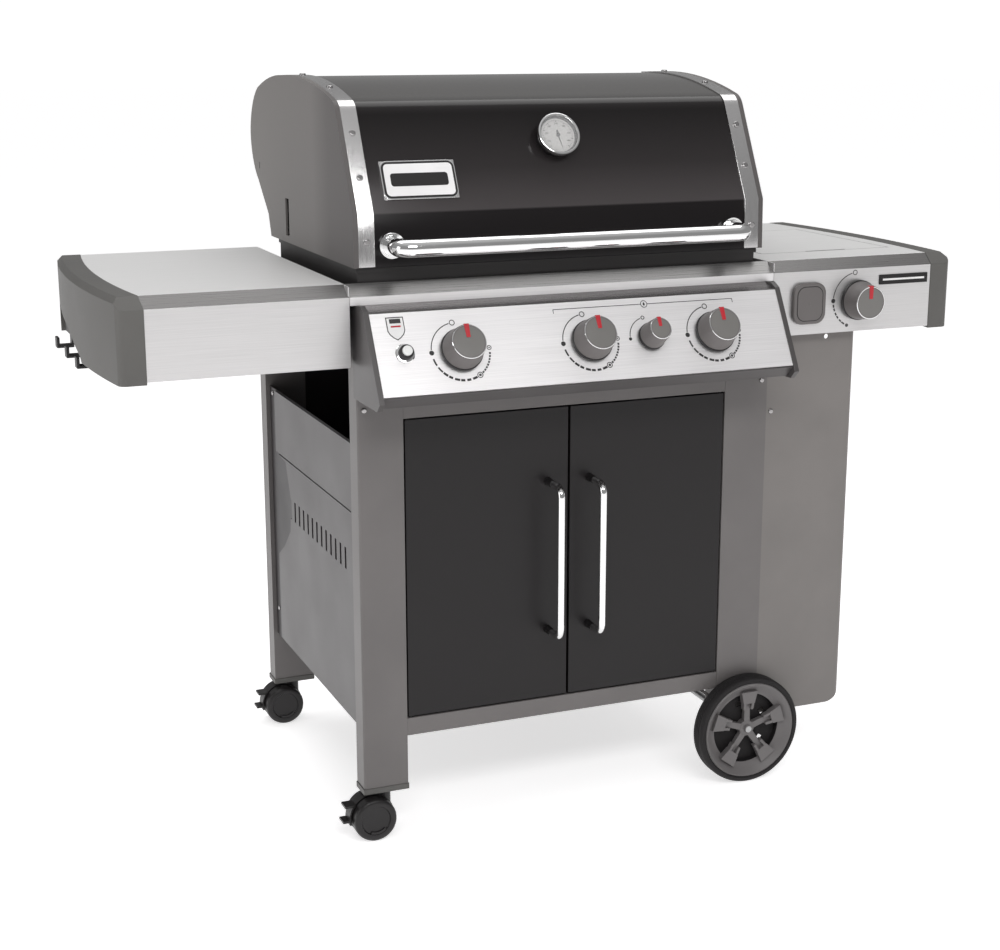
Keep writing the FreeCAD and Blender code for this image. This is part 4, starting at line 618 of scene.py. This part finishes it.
def buildKnob(name, scale, dialStyle):
    joint = joints["knob_" + name + "_turn"]
    placing = standing(joint["pos_m"], joint["axis"], upSlope)
    shape = knobShape
    foot, brow, skirtReach = (shape[key] * scale for key in ("foot", "brow", "skirt"))
    gap, top = shape["gap"], shape["height"]
    skirt = turnedPiece("skirt", [(foot * 0.9, gap), (skirtReach, gap + 0.0004), (skirtReach, gap + 0.0050),
                                  (foot, gap + 0.0062)], "blackPlastic")
    grip = turnedPiece("grip", [(foot, gap + 0.0060), (foot, gap + 0.0082), (brow + 0.0008, top - 0.0055),
                                (brow + 0.0002, top - 0.0022), (brow - 0.0011, top - 0.0008)], "knobGrey")
    ring = turnedPiece("ring", [(brow - 0.0004, top - 0.0020), (brow - 0.0001, top - 0.0010),
                                (brow - 0.0007, top - 0.0003), (brow - 0.0017, top - 0.0003),
                                (brow - 0.0019, top - 0.0020)], "chrome", closed=True)
    face = turnedPiece("face", [(brow - 0.0018, top - 0.0030), (brow - 0.0018, top - 0.0009),
                                (brow - 0.0050, top - 0.0007), (brow * 0.3, top - 0.0005)], "knobFace")
    long = shape["pointerLong"] * (1 if scale == 1 else 0.72)
    wide = shape["pointerWide"] * (1 if scale == 1 else 0.8)
    reach = brow + 0.0006
    bar = slab("bar", (0, reach - long / 2, top - 0.0006), (wide, long, 0.0022), "knobRed")
    side = slab("side", (0, reach - 0.0006, top - 0.0055), (wide, 0.0022, 0.0105), "knobRed")
    pointer = joinPieces([bar, side], "pointer")
    pickFaces(pointer, lambda spot: spot.normal.y < -0.9 and spot.center.z > top - 0.002)
    bpy.ops.transform.resize(value=(0.78, 1, 1), center_override=(0, 0, top))
    bpy.ops.object.mode_set(mode="OBJECT")
    roundEdges(pointer, 0.0006, 2, 40)
    knob = joinPieces([skirt, grip, ring, face, pointer], "knob_" + name + "_dressed")
    settle(knob, placing)
    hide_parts("knob_" + name)
    handOver(knob, "knob_" + name + "_body", 40)

    dial = dialShape
    radius = dial["radius"] * (1 if scale == 1 else dial["smallShare"])
    marks = []

    def arc(fromAngle, toAngle, width, dash=0):
        def keep(angle):
            turnFrom = (angle - fromAngle) % 360
            inside = turnFrom <= (toAngle - fromAngle) % 360
            return inside and (not dash or turnFrom % dash < dash * 0.72)
        marks.append(flatRing("arc", radius, width, dial["lift"], dial["height"], "inkBlack", keep))

    def spot(angle, size, filled):
        x = radius * math.sin(math.radians(angle))
        y = radius * math.cos(math.radians(angle))
        ringMark = flatRing("spot", size, dial["spotLine"], dial["lift"], dial["height"], "inkBlack",
                            count=32)
        ringMark.matrix_world = Matrix.Translation((x, y, 0))
        marks.append(ringMark)
        if filled:
            ends = [(size * filled, dial["lift"]), (size * filled, dial["lift"] + dial["height"])]
            dot = turnedPiece("dot", ends, "inkBlack", 24)
            dot.matrix_world = Matrix.Translation((x, y, 0))
            marks.append(dot)

    for mark in dialArcs[dialStyle]:
        arc(*mark)
    for mark in dialSpots[dialStyle]:
        spot(*mark)
    sheetMarks = joinPieces(marks, "dial_" + name)
    bpy.ops.object.transform_apply(location=True)
    settle(sheetMarks, placing)
    handOver(sheetMarks, "cart")


for name, scale, dialStyle in (("left", 1, "full"), ("middle", 1, "full"), ("right", 1, "full"),
                               ("small", 0.66, "small"), ("side", 1, "side")):
    buildKnob(name, scale, dialStyle)
print("knobs and dials turned")


# Printed lines and sticker on the sloping panel
panelPrint = {"lineUp": 0.0595, "fromX": -0.0535, "toX": 0.2784, "symbolX": 0.1119, "symbolGap": 0.006,
              "wide": 0.0010, "hook": 0.007, "stickerX": -0.3261, "stickerUp": 0.0445,
              "stickerSize": (0.0294, 0.039)}
panelPlace = standing(joints["knob_middle_turn"]["pos_m"], joints["knob_middle_turn"]["axis"], upSlope)
middle = joints["knob_middle_turn"]["pos_m"][0]


def panelBar(x, y, sizeX, sizeY):
    return slab("line", (x - middle, y, 0.0002), (sizeX, sizeY, 0.0003), "inkBlack")


fromX, toX = panelPrint["fromX"], panelPrint["toX"]
symbolX, lineUp = panelPrint["symbolX"], panelPrint["lineUp"]
gap, wide, hook = panelPrint["symbolGap"], panelPrint["wide"], panelPrint["hook"]
lines = [panelBar((fromX + symbolX - gap) / 2, lineUp, symbolX - gap - fromX, wide),
         panelBar((toX + symbolX + gap) / 2, lineUp, toX - symbolX - gap, wide),
         panelBar(fromX, lineUp - hook / 2, wide, hook),
         panelBar(toX, lineUp - hook / 2, wide, hook)]
symbolRing = flatRing("symbolRing", 0.0058, 0.0011, 0.00005, 0.0003, "inkBlack", count=48)
flame = turnedPiece("flame", [(0.0022, 0.00005), (0.0022, 0.00035)], "inkBlack", 24)
pickFaces(flame, lambda face: True)
bpy.ops.transform.resize(value=(0.75, 1.35, 1), center_override=(0, 0, 0))
bpy.ops.object.mode_set(mode="OBJECT")
for mark in (symbolRing, flame):
    mark.matrix_world = Matrix.Translation((symbolX - middle, lineUp, 0))
panelLines = joinPieces(lines + [symbolRing, flame], "panel_lines")
bpy.ops.object.transform_apply(location=True)
settle(panelLines, panelPlace)
handOver(panelLines, "cart")


def shield(name, size, height, finishName):
    wide, tall = size
    piece = slab(name, (0, tall * 0.2, height), (wide, tall * 0.6, 0.0003), finishName)
    for reach, narrow in ((0.16, 0.80), (0.14, 0.55), (0.10, 0.05)):
        pickFaces(piece, lambda face: face.normal.y < -0.9)
        bpy.ops.mesh.extrude_region_move(TRANSFORM_OT_translate={"value": (0, -tall * reach, 0)})
        bpy.ops.transform.resize(value=(narrow, 1, 1), center_override=(0, 0, 0))
        bpy.ops.object.mode_set(mode="OBJECT")
    return piece


stickerWide, stickerTall = panelPrint["stickerSize"]
stickerParts = [shield("rim", (stickerWide, stickerTall), 0.0002, "inkBlack"),
                shield("field", (stickerWide * 0.90, stickerTall * 0.91), 0.0004, "inkWhite"),
                slab("band", (0, 0.0125, 0.0006), (0.0185, 0.0075, 0.0003), "inkBlack"),
                slab("stripe", (0, 0.0035, 0.0006), (0.0165, 0.0028, 0.0003), "knobRed")]
sticker = joinPieces(stickerParts, "panel_sticker")
sticker.matrix_world = Matrix.Translation((panelPrint["stickerX"] - middle, panelPrint["stickerUp"], 0))
bpy.ops.object.transform_apply(location=True)
settle(sticker, panelPlace)
handOver(sticker, "cart")
print("panel printed")


# Igniter, sensor cover and name plate
igniterAxis = -Vector(joints["igniter_push"]["axis"])
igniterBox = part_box("igniter_button")
igniterMid = (igniterBox[0] + igniterBox[1]) / 2
panelPoint = Vector(joints["knob_left_turn"]["pos_m"])
lift = (igniterMid - panelPoint).dot(igniterAxis)
igniterFoot = igniterMid - igniterAxis * lift
igniterPlace = standing(igniterFoot, igniterAxis, upSlope)
igniterShape = {  # radius and height of each ring
    "bezel": [(0.0155, 0.0), (0.0160, 0.0006), (0.0160, 0.0020), (0.0148, 0.0030), (0.0118, 0.0034),
              (0.0118, 0.0030), (0.0118, 0.0)],
    "collar": [(0.0118, 0.0005), (0.0118, 0.0120), (0.0108, 0.0138), (0.0084, 0.0140), (0.0084, 0.0005)],
    "cap": [(0.0082, -0.013), (0.0082, 0.0165), (0.0075, 0.0178), (0.0050, 0.0180), (0.0045, 0.0172),
            (0.0010, 0.0172)],
}
bezel = turnedPiece("bezel", igniterShape["bezel"], "chrome", closed=True)
collar = turnedPiece("collar", igniterShape["collar"], "blackPlastic", closed=True)
socket = joinPieces([bezel, collar], "igniter_socket")
settle(socket, igniterPlace)
handOver(socket, "cart")
cap = turnedPiece("igniter_cap", igniterShape["cap"], "buttonWhite")
settle(cap, igniterPlace)
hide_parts("igniter_button")
handOver(cap, "igniter")

fittings = {"coverX": 0.4555, "coverDrop": 0.0750, "coverSize": (0.066, 0.073),
            "plateX": 0.653, "plateDrop": 0.041, "plateSize": (0.102, 0.0175)}
forward = (0, -1, 0)
coverPlace = standing((fittings["coverX"], tableFront, tableTop - fittings["coverDrop"]), forward, upSlope)
coverWide, coverTall = fittings["coverSize"]
coverBody = roundedSlab("coverBody", (0, 0, 0.0045), (coverWide, coverTall, 0.0088), 0.019, "knobGrey",
                        0.0028)
coverPad = roundedSlab("coverPad", (0, 0, 0.0088), (coverWide - 0.016, coverTall - 0.014, 0.0012), 0.015,
                       "knobGrey", 0.0005)
coverGroove = roundedSlab("coverGroove", (0, 0, 0.00845), (coverWide - 0.0135, coverTall - 0.0115, 0.0011),
                          0.016, "blackPlastic")
coverMark = turnedPiece("coverMark", [(0.0026, 0.0090), (0.0022, 0.0097), (0.0010, 0.0097)], "knobGrey", 24)
sensorCover = joinPieces([coverBody, coverGroove, coverPad, coverMark], "sensor_cover")
settle(sensorCover, coverPlace)
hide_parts("panel_fittings")
handOver(sensorCover, "cart", 40)

platePlace = standing((fittings["plateX"], tableFront, tableTop - fittings["plateDrop"]), forward, upSlope)
plateWide, plateTall = fittings["plateSize"]
plateBody = roundedSlab("plateBody", (0, 0, 0.0009), (plateWide, plateTall, 0.0018), 0.0012, "blackPlastic",
                        0.0004)
plateLine = slab("plateLine", (0, 0, 0.00185), (plateWide * 0.86, 0.0034, 0.0003), "inkWhite")
namePlate = joinPieces([plateBody, plateLine], "name_plate")
settle(namePlate, platePlace)
handOver(namePlate, "cart")
print("fittings placed")


# Hood trims, badge and gauge
workedCopy("hood_trims", "trimSteel", 0.0005)
gaugeJoint = joints["needle_turn"]
gaugeAxis = -Vector(gaugeJoint["axis"])
gaugeFace = Vector(gaugeJoint["pos_m"])
gaugePlace = standing(gaugeFace, gaugeAxis, upSlope)
gaugeShape = {  # the lists hold radius and height of each ring
    "bezel": [(0.0324, -0.0066), (0.0368, -0.0070), (0.0372, -0.0030), (0.0366, 0.0004), (0.0350, 0.0012),
              (0.0332, 0.0008), (0.0324, -0.0008)],
    "rim": [(0.0324, -0.0062), (0.0324, -0.0012), (0.0304, -0.0048), (0.0298, -0.0062)],
    "plate": [(0.0322, -0.00695), (0.0322, -0.0062), (0.0100, -0.0062)],
    "ticks": 41, "fromAngle": -140, "stepAngle": 7, "tickReach": 0.0272, "tickLong": 0.0036,
    "tickShort": 0.0020, "figureReach": 0.0205, "figureTall": 0.0042,
}
bezelRing = turnedPiece("bezelRing", gaugeShape["bezel"], "chrome", closed=True)
dialRim = turnedPiece("dialRim", gaugeShape["rim"], "blackPlastic", closed=True)
dialPlate = turnedPiece("dialPlate", gaugeShape["plate"], "dialSilver")
ticks = []
for index in range(gaugeShape["ticks"]):
    main = index % 5 == 0  # every fifth mark is longer and wider
    angle = math.radians(gaugeShape["fromAngle"] + index * gaugeShape["stepAngle"])
    tickLong = gaugeShape["tickLong"] if main else gaugeShape["tickShort"]
    tick = slab("tick", (0, gaugeShape["tickReach"] - tickLong / 2, -0.00605),
                (0.0009 if main else 0.0005, tickLong, 0.0003), "inkBlack")
    tick.matrix_world = Matrix.Rotation(-angle, 4, "Z")
    ticks.append(tick)
for index, share in enumerate((-120, -80, -40, 0, 40, 80, 120)):
    clearSelection()
    bpy.ops.object.text_add()
    figure = bpy.context.active_object
    figure.data.body = str(50 * (index + 2))
    figure.data.size = gaugeShape["figureTall"]
    figure.data.align_x = "CENTER"
    figure.data.align_y = "CENTER"
    figure.data.extrude = 0.0001
    bpy.ops.object.convert(target="MESH")
    figure = bpy.context.active_object
    angle = math.radians(share)
    figurePlace = Vector((math.sin(angle), math.cos(angle), 0)) * gaugeShape["figureReach"]
    figure.matrix_world = Matrix.Translation(figurePlace + Vector((0, 0, -0.0061)))
    dress(figure, "inkBlack")
    ticks.append(figure)
ticksPiece = joinPieces([dialPlate] + ticks + [dialRim, bezelRing], "gauge_dial")
bpy.ops.object.transform_apply(location=True, rotation=True)
settle(ticksPiece, gaugePlace)
handOver(ticksPiece, "lid", 40)

badgeShape = {"wide": 0.128, "tall": 0.066, "x": -0.250, "drop": 0.057, "slope": 80 / 156, "sink": 0.022}
badgeWide, badgeTall = badgeShape["wide"], badgeShape["tall"]
badgeCentre = gaugeFace - gaugeAxis * badgeShape["sink"]  # from the gauge's face back onto the lid
badgeCentre.x = badgeShape["x"]
badgeCentre.y -= badgeShape["slope"] * badgeShape["drop"]
badgeCentre.z -= badgeShape["drop"]
badgePlace = standing(badgeCentre, gaugeAxis, upSlope)
badgeRim = roundedSlab("badgeRim", (0, 0, 0.0003), (badgeWide, badgeTall, 0.0016), 0.012, "chrome", 0.0005)
badgeDark = roundedSlab("badgeDark", (0, 0, 0.0010), (badgeWide - 0.004, badgeTall - 0.004, 0.0008),
                        0.011, "blackPlastic")
badgeField = roundedSlab("badgeField", (0, 0, 0.0015), (badgeWide - 0.011, badgeTall - 0.011, 0.0008),
                         0.0075, "inkWhite", 0.0002)
badgeBar = roundedSlab("badgeBar", (0, 0, 0.0018), (badgeWide - 0.030, badgeTall * 0.34, 0.0008),
                       0.005, "blackPlastic", 0.0002)
badge = joinPieces([badgeRim, badgeDark, badgeField, badgeBar], "hood_badge")
settle(badge, badgePlace)
handOver(badge, "lid", 40)
print("gauge and badge fitted")


# Door handles
handleShape = {"radius": 0.0065, "bend": 0.017, "stem": 0.020}


# Round bar with two bends
def bentBar(name, start, reach, length, bend, radius, finishName):
    clearSelection()
    bpy.ops.mesh.primitive_circle_add(vertices=28, radius=radius, location=start, fill_type="NGON",
                                      rotation=(math.radians(90), 0, 0))
    bar = bpy.context.active_object
    bar.name = name
    bpy.ops.object.transform_apply(location=True, rotation=True)
    bpy.ops.object.mode_set(mode="EDIT")
    bpy.ops.mesh.select_all(action="SELECT")
    bpy.ops.mesh.extrude_region_move(TRANSFORM_OT_translate={"value": (0, -reach + bend, 0)})
    x, y, z = start
    bpy.ops.mesh.spin(steps=10, angle=math.radians(90), center=(x, y - reach + bend, z - bend),
                      axis=(-1, 0, 0))
    bpy.ops.mesh.extrude_region_move(TRANSFORM_OT_translate={"value": (0, 0, -(length - 2 * bend))})
    bpy.ops.mesh.spin(steps=10, angle=math.radians(90), center=(x, y - reach + bend, z - length + bend),
                      axis=(-1, 0, 0))
    bpy.ops.mesh.extrude_region_move(TRANSFORM_OT_translate={"value": (0, reach - bend, 0)})
    bpy.ops.mesh.select_all(action="SELECT")
    bpy.ops.mesh.remove_doubles(threshold=0.00001)
    bpy.ops.mesh.normals_make_consistent(inside=False)
    bpy.ops.object.mode_set(mode="OBJECT")
    return dress(bar, finishName)


for side in ("left", "right"):
    low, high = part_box("door_handle_" + side)
    radius, stem = handleShape["radius"], handleShape["stem"]
    x = (low.x + high.x) / 2
    reach = high.y - low.y - radius - stem
    stems = [bentBar("bar", (x, high.y - stem, high.z - radius), reach, high.z - low.z - 2 * radius,
                     handleShape["bend"], radius, "chrome")]
    for z in (low.z + radius, high.z - radius):
        stemRings = [(0.0075, -0.0004), (0.0068, 0.0060), (0.0066, stem + 0.002)]
        stemPiece = turnedPiece("stem", stemRings, "blackPlastic", 32)
        stems.append(settle(stemPiece, standing((x, high.y - 0.0006, z), forward, upSlope)))
    handle = joinPieces(stems, "door_handle_" + side + "_dressed")
    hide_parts("door_handle_" + side)
    handOver(handle, side + "_door", 40)
print("door handles bent")


# Big wheels
treadShape = [  # radius and width position, round the tyre with its grooves
    (0.0905, 0.003), (0.0938, 0.0008), (0.0985, 0.0016), (0.1010, 0.0045), (0.1016, 0.0095),
    (0.1016, 0.0125), (0.1004, 0.0130), (0.1004, 0.0145), (0.1016, 0.0150), (0.1016, 0.0172),
    (0.1004, 0.0177), (0.1004, 0.0192), (0.1016, 0.0197), (0.1016, 0.0220), (0.1004, 0.0225),
    (0.1004, 0.0240), (0.1016, 0.0245), (0.1016, 0.0275), (0.1010, 0.0318), (0.0985, 0.0346),
    (0.0938, 0.0355), (0.0905, 0.033)]
rimShape = [
    (0.0905, 0.0335), (0.0890, 0.0350), (0.0865, 0.0342), (0.0790, 0.0268), (0.0710, 0.0215),
    (0.0670, 0.0200), (0.0670, 0.0160), (0.0760, 0.0150), (0.0865, 0.0120), (0.0905, 0.0030)]
hubShape = [
    (0.0150, 0.003), (0.0150, 0.0225), (0.0135, 0.0240), (0.0072, 0.0242), (0.0066, 0.0275),
    (0.0050, 0.0290), (0.0020, 0.0296)]
webShape = (("webInner", 0.0270, 0.026, None), ("webOuter", 0.0600, 0.020, None),
            ("webMiddle", 0.0450, 0.0105, lambda angle: (angle + 20) % 72 > 13))
spokeShape = {"count": 5, "paddleFrom": 0.050, "paddleTo": 0.0735, "paddleWide": (0.0235, 0.0335),
              "barWide": 0.0125, "prong": 0.0055}


def buildWheel(nodeName, bodyName, outward):
    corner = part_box(nodeName)
    centre = (corner[0] + corner[1]) / 2
    innerY = corner[1].y if outward < 0 else corner[0].y
    placing = standing((centre.x, innerY, centre.z), (0, outward, 0), upSlope)
    parts = [turnedPiece("tyre", treadShape, "tyreRubber", 96, True),
             turnedPiece("rim", rimShape, "rimPlastic", 96, True),
             turnedPiece("hub", hubShape, "rimPlastic", 48)]
    for name, radius, wide, keep in webShape:
        parts.append(flatRing(name, radius, wide, 0.0055, 0.0030, "tyreRubber", keep, 120))
    parts.append(flatRing("barrel", 0.0690, 0.0050, 0.0050, 0.0140, "tyreRubber"))
    inner, outer = spokeShape["paddleWide"]
    near, far = spokeShape["paddleFrom"], spokeShape["paddleTo"]
    prongWide = spokeShape["prong"]
    paddle = slab("paddle", (0, (near + far) / 2, 0.0235), (inner, far - near, 0.0130), "rimPlastic")
    pickFaces(paddle, lambda face: face.normal.y > 0.9)
    bpy.ops.transform.resize(value=(outer / inner, 1, 1), center_override=(0, 0, 0.0235))
    bpy.ops.transform.translate(value=(0, 0, 0.0012))
    bpy.ops.object.mode_set(mode="OBJECT")
    prongs = []
    for side in (-1, 1):
        prong = slab("prong", (side * (inner / 2 - prongWide / 2 - 0.0004), near - 0.0055, 0.0238),
                     (prongWide, 0.0125, 0.0115), "rimPlastic")
        pickFaces(prong, lambda face: face.normal.y < -0.9)
        bpy.ops.transform.translate(value=(-side * 0.0012, -0.001, -0.002))
        bpy.ops.object.mode_set(mode="OBJECT")
        prongs.append(prong)
    bar = slab("bar", (0, 0.0315, 0.0180), (spokeShape["barWide"], 0.045, 0.0110), "rimPlastic")
    pickFaces(bar, lambda face: face.normal.y > 0.9)
    bpy.ops.transform.resize(value=(0.85, 1, 0.8), center_override=(0, 0, 0.0180))
    bpy.ops.object.mode_set(mode="OBJECT")
    spoke = joinPieces([paddle, bar] + prongs, "spoke")
    roundEdges(spoke, 0.0010, 2, 40)
    parts.append(spoke)
    for index in range(1, spokeShape["count"]):
        twin = bpy.data.objects.new("spoke", spoke.data.copy())
        bpy.context.scene.collection.objects.link(twin)
        twin.matrix_world = Matrix.Rotation(math.radians(index * 360 / spokeShape["count"]), 4, "Z")
        parts.append(twin)
    wheel = joinPieces(parts, nodeName + "_dressed")
    settle(wheel, placing)
    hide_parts(nodeName)
    handOver(wheel, bodyName, 35)


buildWheel("wheel_front", "big_wheel_front", -1)
buildWheel("wheel_rear", "big_wheel_rear", 1)
print("wheels built")


# Casters
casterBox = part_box("caster_wheels_front")
casterShape = {"radius": (casterBox[1].z - casterBox[0].z) / 2,
               "half": (casterBox[1].y - casterBox[0].y) / 2, "inside": 0.0072,
               "hoodFrom": -60, "hoodTo": 100}


def underHood(angle):
    return casterShape["hoodFrom"] < angle < casterShape["hoodTo"]


def buildCaster(end):
    pivot = Vector(joints["caster_" + end + "_roll"]["pos_m"])
    radius, half, inside = casterShape["radius"], casterShape["half"], casterShape["inside"]
    plateShape = [(0.0120, inside), (radius - 0.0020, inside), (radius, 0.0095), (radius, half - 0.0060),
                  (radius - 0.0010, half - 0.0028), (radius - 0.0035, half - 0.0006), (0.0300, half),
                  (0.0262, half - 0.0004), (0.0248, half - 0.0030), (0.0150, half - 0.0036),
                  (0.0020, half - 0.0038)]
    halves = []
    for outward in (-1, 1):
        placing = standing(pivot, (0, outward, 0), upSlope)
        plate = turnedPiece("plate", plateShape, "casterPlastic", 64)
        halves.append(settle(plate, placing))
        lip = flatRing("lip", 0.0232, 0.0042, half - 0.0034, 0.0026, "casterPlastic",
                       lambda angle: 135 < angle % 360 < 205, 90)
        halves.append(settle(lip, placing))
    hubPlace = standing(pivot, forward, upSlope)
    pin = turnedPiece("pin", [(0.0048, -0.0075), (0.0048, 0.0075)], "casterPlastic", 32)
    halves.append(settle(pin, hubPlace))
    pair = joinPieces(halves, "caster_wheels_" + end + "_dressed")
    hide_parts("caster_wheels_" + end)
    handOver(pair, "caster_wheel_pair_" + end, 35)

    band = flatRing("band", 0.0378, 0.0034, -0.0064, 0.0128, "casterPlastic", underHood, 90)
    web = flatRing("web", 0.0290, 0.0150, -0.0020, 0.0040, "casterPlastic", underHood, 90)
    hood = joinPieces([band, web], "caster_hood_" + end)
    settle(hood, hubPlace)
    handOver(hood, "caster_" + end, 35)


buildCaster("front")
buildCaster("rear")
print("casters built")
